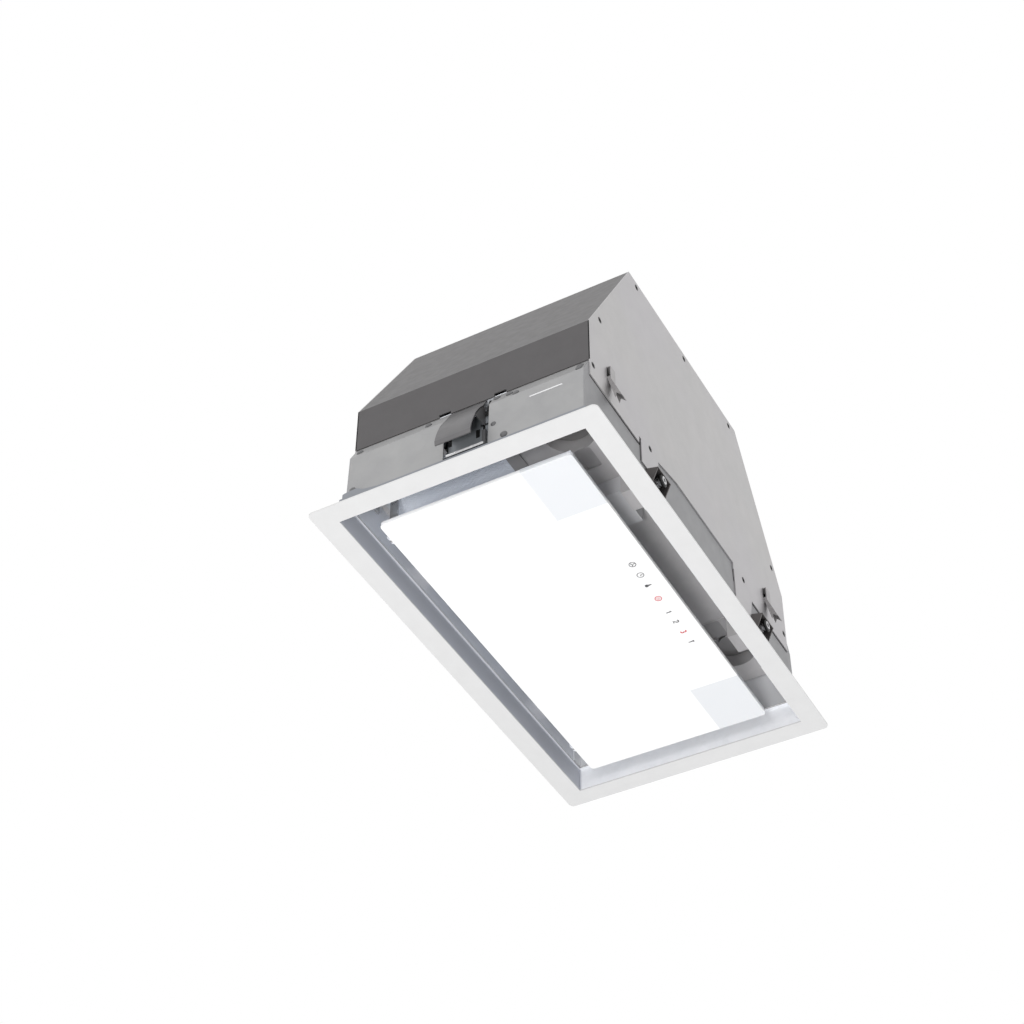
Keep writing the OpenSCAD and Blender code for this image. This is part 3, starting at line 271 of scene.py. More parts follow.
def lip_painted_light_material():
    # the base colours are the inner faces' zinc, painted lit
    m = surface("m_lip_painted_light", rgb(240, 241, 244), rgb(234, 236, 240), rough=(0.42, 0.5), scale=40.0,
                spangle=0.03, grain=0.06)
    nt, p, col = base_colour(m)
    at = parts_of(nt, "Object")
    # painted shade: the outer faces are drawn darker than the lit inner faces
    masks = []
    for axis, edge in LIP_OUTSIDE:
        away = maths(nt, "ABSOLUTE", at[axis])
        masks.append(spread(nt, away, 0.0, 1.0, edge - LIP_EDGE, edge + LIP_EDGE))
    outside = maths(nt, "MAXIMUM", *masks)
    # painted shade: the rear wall is drawn darker than the other inner faces
    rear = spread(nt, at["Y"], 0.0, 1.0, *LIP_REAR_Y)
    col = blend(nt, rear, col, LIP_REAR_SHADE)
    nt.links.new(blend(nt, outside, col, LIP_OUTSIDE_SHADE), p.inputs["Base Color"])
    return m


INWARD_RANGE = (-0.06, -0.03)


def paint_light_inside(m, lit_colour):
    """Paints light on a sheet: inner faces, whose normal points level towards the middle, are painted
    brighter as if lit.
    """
    nt, p, col = base_colour(m)
    at = parts_of(nt, "Object")
    facing = parts_of(nt, "Normal")
    along = [maths(nt, "MULTIPLY", at[axis], facing[axis]) for axis in ("X", "Y")]
    inside = spread(nt, maths(nt, "ADD", *along), 1.0, 0.0, *INWARD_RANGE)
    nt.links.new(blend(nt, inside, col, lit_colour), p.inputs["Base Color"])


# woven mesh: two crossed sets of wires as bump
WIRE_TURNS = (0.6, -0.6)
WIRE_SCALE = 110.0
WIRE_STRENGTH = 0.35
WIRE_DEPTH = 0.6 * MM


def mesh_material():
    m = surface("m_mesh", rgb(238, 243, 252), rgb(232, 238, 249), rough=(0.35, 0.45), scale=50.0)
    nt = m.node_tree
    tc = put(nt, "ShaderNodeTexCoord")
    wires = []
    for turn in WIRE_TURNS:
        mp = put(nt, "ShaderNodeMapping")
        mp.inputs["Rotation"].default_value = (0, 0, turn)
        nt.links.new(tc.outputs["Object"], mp.inputs["Vector"])
        w = put(nt, "ShaderNodeTexWave", wave_type="BANDS", bands_direction="X")
        w.inputs["Scale"].default_value = WIRE_SCALE
        nt.links.new(mp.outputs["Vector"], w.inputs["Vector"])
        wires.append(w.outputs["Fac"])
    bumped(nt, nt.nodes["Principled BSDF"], maths(nt, "MAXIMUM", *wires), WIRE_STRENGTH, WIRE_DEPTH)
    return m


# materials of the record's slots
M = {
    "trim_white": surface("m_trim", rgb(212, 212, 212), rgb(209, 209, 209), rough=(0.34, 0.42), grain=0.1,
                          grain_scale=1500.0),
    "lip_zinc": lip_painted_light_material(),
    "box_zinc": surface("m_box", rgb(212, 214, 218), rgb(204, 206, 211), rough=(0.4, 0.5), metal=0.25,
                        scale=40.0, spangle=0.04, grain=0.06),
    "end_zinc": surface("m_end_painted_light", rgb(168, 168, 168), rgb(161, 161, 162), rough=(0.42, 0.48), metal=0.5,
                        scale=35.0, spangle=0.02, grain=0.05),
    # the side plates carry painted reflection bands, as large patches of a second grey
    "side_zinc": surface("m_side", rgb(184, 182, 182), rgb(180, 179, 179), rough=(0.38, 0.44), metal=0.5,
                         scale=30.0, spangle=0.012, grain=0.04, painted_sheen=rgb(182, 180, 182)),
    "cover_grey": surface("m_cover", rgb(82, 80, 81), rgb(79, 77, 78), rough=(0.42, 0.47), metal=0.1,
                          spangle=0.01, grain=0.04),
    "collar_black": surface("m_collar", rgb(44, 44, 45), rgb(36, 36, 37), rough=(0.45, 0.6), grain=0.2),
    "flap_zinc": surface("m_flap", rgb(190, 192, 194), rgb(180, 182, 185), rough=(0.35, 0.5), metal=0.8,
                         scale=50.0, stretch=(1, 12, 1), grain=0.05),
    "bright_steel": surface("m_steel", rgb(205, 205, 206), rgb(192, 192, 194), rough=(0.25, 0.38), metal=0.85,
                            scale=80.0, grain=0.05),
    "impeller_black": surface("m_fan", rgb(46, 46, 48), rgb(38, 38, 40), rough=(0.42, 0.55), grain=0.15),
    "motor_dark": surface("m_motor", rgb(98, 98, 100), rgb(88, 88, 90), rough=(0.5, 0.65), metal=0.3,
                          scale=80.0, grain=0.35),
    "bush_rubber": surface("m_rubber", rgb(42, 42, 42), rgb(34, 34, 34), rough=(0.7, 0.85), grain=0.25),
    "shell_white": surface("m_shell", rgb(226, 226, 224), rgb(218, 218, 216), grain=0.1),
    "filter_alu": surface("m_filter", rgb(216, 218, 220), rgb(200, 203, 206), rough=(0.3, 0.42), metal=0.6,
                          stretch=(1, 14, 1), grain=0.25, grain_scale=1200.0),
    "moulded_black": surface("m_mould", rgb(48, 48, 50), rgb(40, 40, 42), rough=(0.5, 0.62), grain=0.3,
                             grain_scale=1800.0),
    "lamp_white": surface("m_lamp", rgb(240, 242, 246), rgb(234, 237, 242), rough=(0.2, 0.3), coat=0.4),
    "board_green": surface("m_board", rgb(34, 104, 62), rgb(26, 90, 52), rough=(0.3, 0.42), coat=0.4,
                           grain=0.1),
    "diffuser": surface("m_diffuser", rgb(232, 236, 243), rgb(226, 231, 239), rough=(0.45, 0.55), grain=0.1),
    "bracket_black": surface("m_bracket", rgb(108, 104, 103), rgb(98, 95, 95), rough=(0.35, 0.5), metal=0.4,
                             grain=0.1),
    "spring_steel": surface("m_spring", rgb(168, 166, 166), rgb(154, 152, 153), rough=(0.3, 0.42), metal=0.6,
                            stretch=(1, 1, 8), grain=0.08),
    "lever_grey": surface("m_lever", rgb(114, 113, 114), rgb(106, 105, 107), rough=(0.38, 0.46), metal=0.5,
                          scale=50.0, grain=0.06),
    "screw_black": surface("m_screw", rgb(34, 34, 34), rgb(24, 24, 24), rough=(0.35, 0.5), metal=0.2,
                           grain=0.1),
    "glass_white": glass_material(),
}
# painted light: the end plates' inner faces are painted near white, as if lit through the slots
paint_light_inside(M["end_zinc"], rgb(246, 247, 249))

# materials of single nodes and pieces, whose grey in the photograph isn't their slot's
# painted light: a near-white zinc for parts deep inside the hood, brighter than their slot's as if lit there
m_inner_painted_light = surface("m_inner_painted_light", rgb(242, 245, 250), rgb(235, 238, 244), scale=50.0, spangle=0.03, grain=0.05)
m_carrier = surface("m_carrier", rgb(206, 204, 204), rgb(198, 196, 197), rough=(0.42, 0.5), metal=0.2,
                    scale=50.0, spangle=0.02, grain=0.05)
m_driver = surface("m_driver", rgb(214, 214, 216), rgb(206, 206, 208), metal=0.1, grain=0.1)
# painted shade: chassis_front is drawn darker than its slot's zinc, as the shaded wall below the side plates
m_skirt_painted_shade = surface("m_skirt_painted_shade", rgb(146, 146, 148), rgb(140, 140, 142), rough=(0.42, 0.5), metal=0.4,
                  scale=40.0, spangle=0.02, grain=0.05)
# bright steel of the rods; on the end bead this brightness is a painted highlight
m_rod = surface("m_rod", rgb(240, 240, 241), rgb(228, 228, 230), rough=(0.2, 0.3), metal=0.35, scale=90.0,
                grain=0.04)
m_header = surface("m_header", rgb(104, 103, 104), rgb(98, 97, 98), metal=0.4, grain=0.05)
m_recess = surface("m_recess", rgb(178, 176, 176), rgb(170, 168, 169), metal=0.2, grain=0.05)
m_plate = surface("m_plate", rgb(140, 144, 148), rgb(132, 136, 140), rough=(0.35, 0.45), metal=0.3,
                  grain=0.04)
m_lens = surface("m_lens", rgb(152, 150, 150), rgb(144, 142, 143), rough=(0.3, 0.4), metal=0.4, coat=0.3)
# painted shade: near black, put in gaps and openings where there is only shade
m_painted_shade = surface("m_painted_shade", rgb(18, 18, 18), rgb(12, 12, 12), rough=(0.8, 0.9), scale=200.0)
# rivet zinc drawn darker than its own grey, with the shade on the domes partly painted in
m_rivet_partly_shaded = surface("m_rivet_partly_shaded", rgb(118, 118, 119), rgb(100, 100, 102), rough=(0.3, 0.4), metal=0.7,
                  scale=200.0)
m_rear_sheet_painted_light = surface("m_rear_sheet_painted_light", rgb(160, 160, 162), rgb(153, 153, 155), rough=(0.42, 0.5), metal=0.3,
                       scale=40.0, spangle=0.02, grain=0.05)
# painted light: chassis_rear's inner faces are painted near white, as if lit
paint_light_inside(m_rear_sheet_painted_light, rgb(240, 243, 249))
m_mesh = mesh_material()
m_grey = surface("m_print_grey", rgb(82, 82, 84), rgb(76, 76, 78), rough=(0.3, 0.4), scale=400.0)
m_red = surface("m_print_red", rgb(205, 52, 62), rgb(198, 46, 56), rough=(0.3, 0.4), scale=400.0)

for row in frame["record"]["subparts"]:
    node = nodes[row["node"]]
    node.data.materials.clear()
    node.data.materials.append(M[row["material_slot"]])
    for poly in node.data.polygons:
        poly.material_index = 0

OWN_MATERIALS = (
    (m_skirt_painted_shade, ("chassis_front",)),
    (m_inner_painted_light, ("blower_deck", "catch_magnets")),
    (m_carrier, ("filter_carrier", "lamp_mount_left", "lamp_mount_right", "clamp_guides")),
    (m_lens, ("lamp_left", "lamp_right")),
    (m_rear_sheet_painted_light, ("chassis_rear",)),
    (m_driver, ("led_driver",)),
)
for mat, names in OWN_MATERIALS:
    for name in names:
        nodes[name].data.materials[0] = mat


def soften(o, width, angle=40.0):
    """A small round on the sharp edges of an object, which leaves its mesh as it is."""
    b = o.modifiers.new("round", "BEVEL")
    b.width = width
    b.segments = 2
    b.limit_method = "ANGLE"
    b.angle_limit = math.radians(angle)
    b.harden_normals = False


EDGE_ROUND = 0.4 * MM
SHEET_ROUND = 0.2 * MM
for name in ("trim_frame", "glass_panel"):
    soften(nodes[name], EDGE_ROUND)
for name in ("side_plate_front", "side_plate_rear", "lip_collar"):
    soften(nodes[name], SHEET_ROUND)


# mesh helpers
def piece(name, bm, mat, body, smooth=False):
    """Turns a mesh in the making into an object that rides on a body."""
    me = bpy.data.meshes.new(name)
    bm.to_mesh(me)
    bm.free()
    o = bpy.data.objects.new(name, me)
    scene.collection.objects.link(o)
    me.materials.append(mat)
    if smooth:
        for f in me.polygons:
            f.use_smooth = True
    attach(o, body)
    return o


def solid(name, bm, mat, body, smooth=False):
    """A piece whose faces are first turned outwards."""
    bmesh.ops.recalc_face_normals(bm, faces=bm.faces)
    return piece(name, bm, mat, body, smooth)


def band(bm, a, b):
    """Faces between two closed loops of as many points."""
    for i in range(len(a)):
        j = (i + 1) % len(a)
        bm.faces.new((a[i], a[j], b[j], b[i]))


def prism(bm, near, far):
    """A closed solid between two outlines of as many points."""
    a = [bm.verts.new(p) for p in near]
    b = [bm.verts.new(p) for p in far]
    bm.faces.new(a[::-1])
    bm.faces.new(b)
    band(bm, a, b)


def slab(bm, outline, z0, z1):
    """A prism over (x, y) points."""
    prism(bm, [(x, y, z0) for x, y in outline], [(x, y, z1) for x, y in outline])


def along_x(bm, outline, x0, x1, side):
    """A prism over (y, z) points in mm, between two distances from the middle, at one end."""
    prism(bm, *([(side * x * MM, y * MM, z * MM) for y, z in outline] for x in (x0, x1)))


def along_y(bm, outline, y0, y1, side=1):
    """A prism over (x, z) points in mm, x outwards from the middle, at one end."""
    prism(bm, *([(side * x * MM, y * MM, z * MM) for x, z in outline] for y in (y0, y1)))


def rectangle(a0, a1, b0, b1):
    return [(a0, b0), (a1, b0), (a1, b1), (a0, b1)]


def arc(cx, cy, r, a0, a1, steps):
    """Points on a circle between two angles in degrees."""
    turns = [math.radians(a0 + (a1 - a0) * i / steps) for i in range(steps + 1)]
    return [(cx + r * math.cos(t), cy + r * math.sin(t)) for t in turns]


def circle(cx, cy, r, steps):
    return arc(cx, cy, r, 0, 360, steps)[:-1]


def turned(bm, place, profile, steps):
    """Rings round the Z axis of a place over (radius, height) points, joined by bands."""
    rings = [[bm.verts.new(place @ Vector((x, y, h))) for x, y in circle(0, 0, r, steps)]
             for r, h in profile]
    for a, b in zip(rings, rings[1:]):
        band(bm, a, b)
    return rings


def at_end(side, place):
    """A place on the left end, or its mirror image on the right end."""
    return place if side < 0 else Matrix.Scale(-1, 4, (1, 0, 0)) @ place


def recut(node, name, body, slot, cuts, mat=None):
    """A copy of a CAD node with boxes of (x0, x1), (y0, y1), (z0, z1) cut away, in its place."""
    o = bpy.data.objects.new(name, nodes[node].data.copy())
    scene.collection.objects.link(o)
    tools = []
    for xs, ys, zs in cuts:
        bm = bmesh.new()
        slab(bm, rectangle(*xs, *ys), *zs)
        bmesh.ops.recalc_face_normals(bm, faces=bm.faces)
        me = bpy.data.meshes.new("cutter")
        bm.to_mesh(me)
        bm.free()
        tool = bpy.data.objects.new("cutter", me)
        scene.collection.objects.link(tool)
        cut = o.modifiers.new("cut", "BOOLEAN")
        cut.operation = "DIFFERENCE"
        cut.solver = "EXACT"
        cut.object = tool
        tools.append(tool)
    bpy.context.view_layer.update()
    graph = bpy.context.evaluated_depsgraph_get()
    cut_mesh = bpy.data.meshes.new_from_object(o.evaluated_get(graph))
    o.modifiers.clear()
    o.data = cut_mesh
    for tool in tools:
        bpy.data.objects.remove(tool)
    o.data.materials.clear()
    o.data.materials.append(mat or M[slot])
    for poly in o.data.polygons:
        poly.material_index = 0
        poly.use_smooth = False
    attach(o, body)
    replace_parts(o, node)


# touch symbols under the glass, in mm: x to the right and y up, up being towards the front
SYMBOL_Z0 = 2.62
SYMBOL_Z1 = 2.7
SYMBOL_Y = -77.0
BOLD = 1.4
FINE = 0.5
THICK = 0.8
RING = 3.1
RING_STEPS = 28
CURVE_STEPS = 12


def stroke(bm, points, width=THICK, closed=False):
    """A flat ribbon along a line of points."""
    n = len(points)
    one, other = [], []
    for i, p in enumerate(points):
        a = Vector(points[(i - 1) % n] if closed or i else points[0])
        b = Vector(points[(i + 1) % n] if closed or i < n - 1 else points[-1])
        ahead = (b - a).normalized()
        aside = Vector((-ahead.y, ahead.x)) * (width * BOLD / 2)
        one.append(Vector(p) + aside)
        other.append(Vector(p) - aside)
    for i in range(n if closed else n - 1):
        j = (i + 1) % n
        slab(bm, [one[i], one[j], other[j], other[i]], SYMBOL_Z0, SYMBOL_Z1)


def draw_fan(bm):
    stroke(bm, circle(0, 0, RING, RING_STEPS), FINE, True)
    blade = [(0.0, 0.0), (1.0, 0.75), (2.2, 0.8), (2.5, -0.1), (1.3, -0.35)]
    for turn in (90, 210, 330):
        c = math.cos(math.radians(turn))
        s = math.sin(math.radians(turn))
        slab(bm, [(x * c - y * s, x * s + y * c) for x, y in blade], SYMBOL_Z0, SYMBOL_Z1)


def draw_clock(bm):
    stroke(bm, circle(0, 0, RING, RING_STEPS), FINE, True)
    stroke(bm, [(0, 1.9), (0, 0)], FINE)
    stroke(bm, [(0, 0), (1.6, 0)], FINE)


def draw_lamp(bm):
    slab(bm, arc(0, -1.6, 1.8, -60, 240, 16), SYMBOL_Z0, SYMBOL_Z1)
    slab(bm, [(-0.45, 3.2), (0.45, 3.2), (0.9, 0.1), (-0.9, 0.1)], SYMBOL_Z0, SYMBOL_Z1)


def draw_power(bm):
    stroke(bm, circle(0, 0, 3.0, RING_STEPS), 0.55, True)
    stroke(bm, arc(0, -0.1, 1.3, 130, 410, 16), 0.3)
    stroke(bm, [(0, 1.9), (0, 0.1)], 0.35)


def draw_one(bm):
    stroke(bm, [(-1.1, 1.5), (0.3, 2.5), (0.3, -2.5)])


def draw_two(bm):
    stroke(bm, arc(0, 1.1, 1.4, 160, -40, CURVE_STEPS) + [(-1.4, -2.4), (1.5, -2.4)])


def draw_three(bm):
    stroke(bm, arc(0, 1.25, 1.25, 140, -80, CURVE_STEPS))
    stroke(bm, arc(0, -1.25, 1.35, 80, -140, CURVE_STEPS))


def draw_boost(bm):
    stroke(bm, [(0, 2.5), (0, -2.5)])
    stroke(bm, [(-1.2, 2.4), (1.2, 2.4)])


SYMBOLS = (
    ("symbol_fan", -52.7, draw_fan, m_grey),
    ("symbol_clock", -36.7, draw_clock, m_grey),
    ("symbol_lamp", -20.8, draw_lamp, m_grey),
    ("symbol_power", -0.3, draw_power, m_red),
    ("symbol_one", 21.1, draw_one, m_grey),
    ("symbol_two", 36.2, draw_two, m_grey),
    ("symbol_three", 52.3, draw_three, m_red),
    ("symbol_boost", 68.8, draw_boost, m_grey),
)
for name, x, draw, mat in SYMBOLS:
    bm = bmesh.new()
    draw(bm)
    for v in bm.verts:
        v.co = Vector(((x + v.co.x) * MM, (SYMBOL_Y - v.co.y) * MM, v.co.z * MM))
    solid(name, bm, mat, "panel")

# side plate screws: domed heads with a cross recess, at the (x, z) of the plain ones
SCREWS = ((-105.5, 297.3), (0, 297.3), (105.5, 297.3), (-189, 169), (189, 169), (-205.3, 95.2),
          (205.3, 95.2), (-94.2, 90.5), (107.8, 90.5))
SCREW_Y = 117.4
SCREW_R = 3.8 * MM
SCREW_H = 1.2 * MM
SCREW_STEPS = 32
SCREW_PROFILE_SHARES = ((1.0, 0.0), (1.0, 0.45), (0.86, 0.8), (0.55, 1.0))
CROSS_ARM = SCREW_R * 0.5
CROSS_HALF = 0.6 * MM
CROSS_TAPER_SHARE = 0.7
CROSS_FLOOR_SHARE = 0.35
# each head's cross is left at another angle, in radians
SPIN_START = 0.6
SPIN_PER_MM = 0.37


def clamp(value, limit):
    return max(-limit, min(limit, value))


def cross_loop():
    """The points of a ring drawn on to a plus shape."""
    loop = []
    for c, s in circle(0, 0, 1, SCREW_STEPS):
        if abs(s) > abs(c):
            loop.append((clamp(c * CROSS_HALF * 2, CROSS_HALF), clamp(s * CROSS_ARM * 2, CROSS_ARM)))
        else:
            loop.append((clamp(c * CROSS_ARM * 2, CROSS_ARM), clamp(s * CROSS_HALF * 2, CROSS_HALF)))
    return loop


def screw_head(bm, place):
    rings = turned(bm, place, [(SCREW_R * r, SCREW_H * h) for r, h in SCREW_PROFILE_SHARES], SCREW_STEPS)
    top = [bm.verts.new(place @ Vector((x, y, SCREW_H))) for x, y in cross_loop()]
    low = [bm.verts.new(place @ Vector((x * CROSS_TAPER_SHARE, y * CROSS_TAPER_SHARE,
                                        SCREW_H * CROSS_FLOOR_SHARE))) for x, y in cross_loop()]
    band(bm, rings[-1], top)
    band(bm, top, low)
    bm.faces.new(low)


def on_side(side, x, y, z):
    """A place on the front (-1) or rear (1) side, with its Z axis outwards."""
    turn = Matrix.Rotation(-RIGHT_ANGLE * side, 4, "X")
    return Matrix.Translation((x * MM, side * y * MM, z * MM)) @ turn


bm = bmesh.new()
for side in (-1, 1):
    for x, z in SCREWS:
        spin = Matrix.Rotation(SPIN_START + x * SPIN_PER_MM, 4, "Z")
        screw_head(bm, on_side(side, x, SCREW_Y, z) @ spin)
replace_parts(solid("case_screw_heads", bm, M["screw_black"], "housing"), "case_screws")

# end plates: an upright wall that leans in a little, and a slope above it, in mm
WALL_FOOT_X = 221.5
WALL_FOOT_Z = 24.6
WALL_TOP_Z = 80.0
WALL_LEAN = 1.5
WALL_RISE = WALL_TOP_Z - WALL_FOOT_Z
SLOPE_FOOT_X = WALL_FOOT_X - WALL_LEAN
SLOPE_RUN = 9.8
SLOPE_RISE = 18.0
END_HALF_WIDTH = 116.4


def wall_out(z):
    """How far the outer face of an end plate's wall is from the middle at a height, in mm."""
    return WALL_FOOT_X - WALL_LEAN * (z - WALL_FOOT_Z) / WALL_RISE


def outwards(run, rise):
    """Turns the Z axis to the left end's outside, tilted up as a face with this run and rise is."""
    return Matrix.Rotation(math.atan2(run, rise) - RIGHT_ANGLE, 4, "Y")


# rivets: shares of the half width and of the rise on the slope, and (y, z) on the wall
SLOPE_RIVET_SHARES = ((0.337, 0.45), (-0.251, 0.55), (-0.362, 0.45), (-0.427, 0.2), (-0.955, 0.5),
                      (-0.955, 0.2), (0.945, 0.45))
WALL_RIVETS = ((111.2, 37.3), (-40.0, 35.0))
RIVET_R = 3.4 * MM
RIVET_H = 1.7 * MM
RIVET_STEPS = 28
RIVET_PROFILE_SHARES = ((1.0, 0.0), (1.0, 0.22), (0.93, 0.42), (0.8, 0.62), (0.58, 0.82), (0.3, 0.95))
DISC = (-29.4, 53.0)
DISC_R = 2.6 * MM
DISC_H = 0.6 * MM


def dome(bm, place, r, h):
    rings = turned(bm, place, [(r * a, h * b) for a, b in RIVET_PROFILE_SHARES], RIVET_STEPS)
    bm.faces.new(rings[-1])
    bm.faces.new(rings[0][::-1])


def on_wall(y, z):
    return Matrix.Translation((-wall_out(z) * MM, y * MM, z * MM))


bm = bmesh.new()
for side, word in ENDS:
    for s, k in SLOPE_RIVET_SHARES:
        place = Matrix.Translation(((SLOPE_RUN * k - SLOPE_FOOT_X) * MM, END_HALF_WIDTH * s * MM,
                                    (WALL_TOP_Z + SLOPE_RISE * k) * MM))
        dome(bm, at_end(side, place @ outwards(SLOPE_RUN, SLOPE_RISE)), RIVET_R, RIVET_H)
    for y, z in WALL_RIVETS:
        dome(bm, at_end(side, on_wall(y, z) @ outwards(WALL_LEAN, WALL_RISE)), RIVET_R, RIVET_H)
    dome(bm, at_end(side, on_wall(*DISC) @ outwards(0, 1)), DISC_R, DISC_H)
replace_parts(solid("end_rivet_heads", bm, m_rivet_partly_shaded, "housing", smooth=True), "end_screws")

# woven mesh under each filter, sagging a little, in a pressed rim
MESH_INSET = 4 * MM
MESH_DROP = 0.6 * MM
MESH_SAG = 0.4 * MM
MESH_COLUMNS = 48
MESH_ROWS = 30
RIM_WIDTH = 3 * MM
RIM_HEIGHT = 1 * MM


def filter_mesh(word, x0, x1, y0, y1, z):
    bm = bmesh.new()
    grid = []
    for i in range(MESH_COLUMNS + 1):
        a = i / MESH_COLUMNS
        column = []
        for j in range(MESH_ROWS + 1):
            b = j / MESH_ROWS
            drop = MESH_DROP + MESH_SAG * math.sin(math.pi * a) * math.sin(math.pi * b)
            column.append(bm.verts.new((x0 + (x1 - x0) * a, y0 + (y1 - y0) * b, z - drop)))
        grid.append(column)
    for one, other in zip(grid, grid[1:]):
        for j in range(MESH_ROWS):
            bm.faces.new((one[j], one[j + 1], other[j + 1], other[j]))
    piece("filter_mesh_" + word, bm, m_mesh, "housing", smooth=True)


def filter_rim(word, x0, x1, y0, y1, z):
    bm = bmesh.new()
    for bar in (rectangle(x0 - RIM_WIDTH, x1 + RIM_WIDTH, y0 - RIM_WIDTH, y0),
                rectangle(x0 - RIM_WIDTH, x1 + RIM_WIDTH, y1, y1 + RIM_WIDTH),
                rectangle(x0 - RIM_WIDTH, x0, y0, y1),
                rectangle(x1, x1 + RIM_WIDTH, y0, y1)):
        slab(bm, bar, z - RIM_HEIGHT, z)
    solid("filter_rim_" + word, bm, M["filter_alu"], "housing")


for side, word in ENDS:
    lo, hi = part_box("grease_filter_" + word)
    inside = (lo[0] + MESH_INSET, hi[0] - MESH_INSET, lo[1] + MESH_INSET, hi[1] - MESH_INSET, lo[2])
    filter_mesh(word, *inside)
    filter_rim(word, *inside)

# bead and corner patch of the left end plate, as (y, z) points on its wall in mm;
# the bead is a low ridge drawn bright, a painted highlight along it
BEAD_Y0 = -96.0
BEAD_Y1 = -64.5
BEAD_Z = 69.3
BEAD_R = 0.6
BEAD_TIP = 0.5
BEAD_DEPTH = 0.5
PATCH = ((-99.2, 30), (-116.2, 30), (-116.2, 70.2), (-103.0, 70.2), (-100.6, 69.4), (-99.4, 67.2))
PATCH_DEPTH = 0.3
RAISED_SINK = 0.1
RAISED_TAPER = 0.03


def raised(name, outline, depth, mat):
    """A patch raised on the left end plate, a little narrower at its top."""
    bm = bmesh.new()
    mid_y = sum(y for y, z in outline) / len(outline)
    mid_z = sum(z for y, z in outline) / len(outline)
    low = [bm.verts.new(((RAISED_SINK - wall_out(z)) * MM, y * MM, z * MM)) for y, z in outline]
    top = [bm.verts.new((-(wall_out(z) + depth) * MM, (y + (mid_y - y) * RAISED_TAPER) * MM,
                         (z + (mid_z - z) * RAISED_TAPER) * MM)) for y, z in outline]
    bm.faces.new(top)
    band(bm, low, top)
    solid(name, bm, mat, "housing")


bead = ((BEAD_Y1, BEAD_Z - BEAD_R), (BEAD_Y0, BEAD_Z - BEAD_R), (BEAD_Y0 - BEAD_R, BEAD_Z),
        (BEAD_Y0, BEAD_Z + BEAD_R), (BEAD_Y1, BEAD_Z + BEAD_R), (BEAD_Y1 + BEAD_TIP, BEAD_Z))
# painted highlight: the bead is drawn in bright rod steel
raised("end_bead_highlight", bead, BEAD_DEPTH, m_rod)
raised("end_patch", PATCH, PATCH_DEPTH, M["end_zinc"])

# end windows, in mm with x outwards: the photograph's window, and where the CAD's sill and rear jamb are
WINDOW_Y0 = -24.4
WINDOW_Y1 = 19.9
WINDOW_SILL_Z = 33.3
CAD_JAMB_Y = 27.4
CAD_SILL_Z = 40.0
CUT_X0 = 218.5
CUT_X1 = 223.5
CUT_OVERRUN = 0.5
SHEET = 1.0
SLOPE_TOP = (210.2, 98.0)
SLOPE_TOP_INSIDE = (209.2, 98.0)
SLOPE_FOOT_INSIDE = (219.0, 79.4)

# the plate behind the window: a face, a cheek at each side and a shelf on the sill
PLATE_X = 214.0
PLATE_Z0 = 33.4
PLATE_Z1 = 78.0
CHEEK_X = 206.0
SHELF_X = 220.4
PLATE_GAP = 0.1
SLOT_SINK = 0.1
SLOT_PROUD = 0.15
PLATE_SLOTS = ((15.6, 18.6, 52.5, 61), (-12.4, -8.6, 51, 60.5), (-17.8, -15.4, 55.5, 64))
# painted shade: a dark grey strip beside a cheek, drawn as a post
CHEEK_SHADE = rectangle(PLATE_X, 218.0, 35.0, 54.0)
CHEEK_SHADE_Y0 = -20.0
CHEEK_SHADE_Y1 = -16.6
PIVOT_ROD = (209.0, 72.0, 2.0)
SILL_ROD = (218.6, 37.6, 1.3)
SILL_ROD_Y0 = -18.6
SILL_ROD_Y1 = 18.0
ROD_STEPS = 18

# the header over the lever, and the dark opening beside it drawn as a near-black strip: painted shade
HEADER = ((219.6, 80.5), (210.2, 97.8), (209.4, 97.4), (218.6, 80.0))
HEADER_Y0 = -16.4
CORNER = ((216.0, 72.0), (208.6, 97.6), (208.2, 97.4), (215.6, 71.6))
CORNER_Y1 = -18.3

# the lever: a bowed sheet from the rod down and out, with a cheek at each side
BOW_START = (219.8, 82.0)
BOW_PULL = (236.0, 60.0)
BOW_END = (240.4, 36.5)
BOW_LIP = (239.8, 32.2)
BOW_STEPS = 14
LEVER_SHEET = 1.1
LEVER_DROP = 0.5
LEVER_Y0 = -18.0
LEVER_Y1 = 17.2
LEVER_CHEEK = ((215.0, 62.0), (206.5, 69.0), (206.5, 77.0), (210.5, 80.0))
LEVER_CHEEK_POINTS = 8
LEVER_ROUND = 0.3 * MM
ROUND_ANGLE = 30.0


def end_wall(side, word):
    recut("end_plate_" + word, "end_wall_" + word, "housing", "end_zinc",
          [(sorted((side * CUT_X0 * MM, side * CUT_X1 * MM)), (WINDOW_Y0 * MM, WINDOW_Y1 * MM),
            (WINDOW_SILL_Z * MM, (CAD_SILL_Z + CUT_OVERRUN) * MM))])


def end_jamb(side, word):
    bm = bmesh.new()
    sill_x = wall_out(CAD_SILL_Z)
    along_y(bm, [(sill_x, CAD_SILL_Z), (wall_out(WALL_TOP_Z), WALL_TOP_Z), SLOPE_TOP, SLOPE_TOP_INSIDE,
                 SLOPE_FOOT_INSIDE, (sill_x - SHEET, CAD_SILL_Z)], WINDOW_Y1, CAD_JAMB_Y, side)
    solid("end_jamb_" + word, bm, M["end_zinc"], "housing")


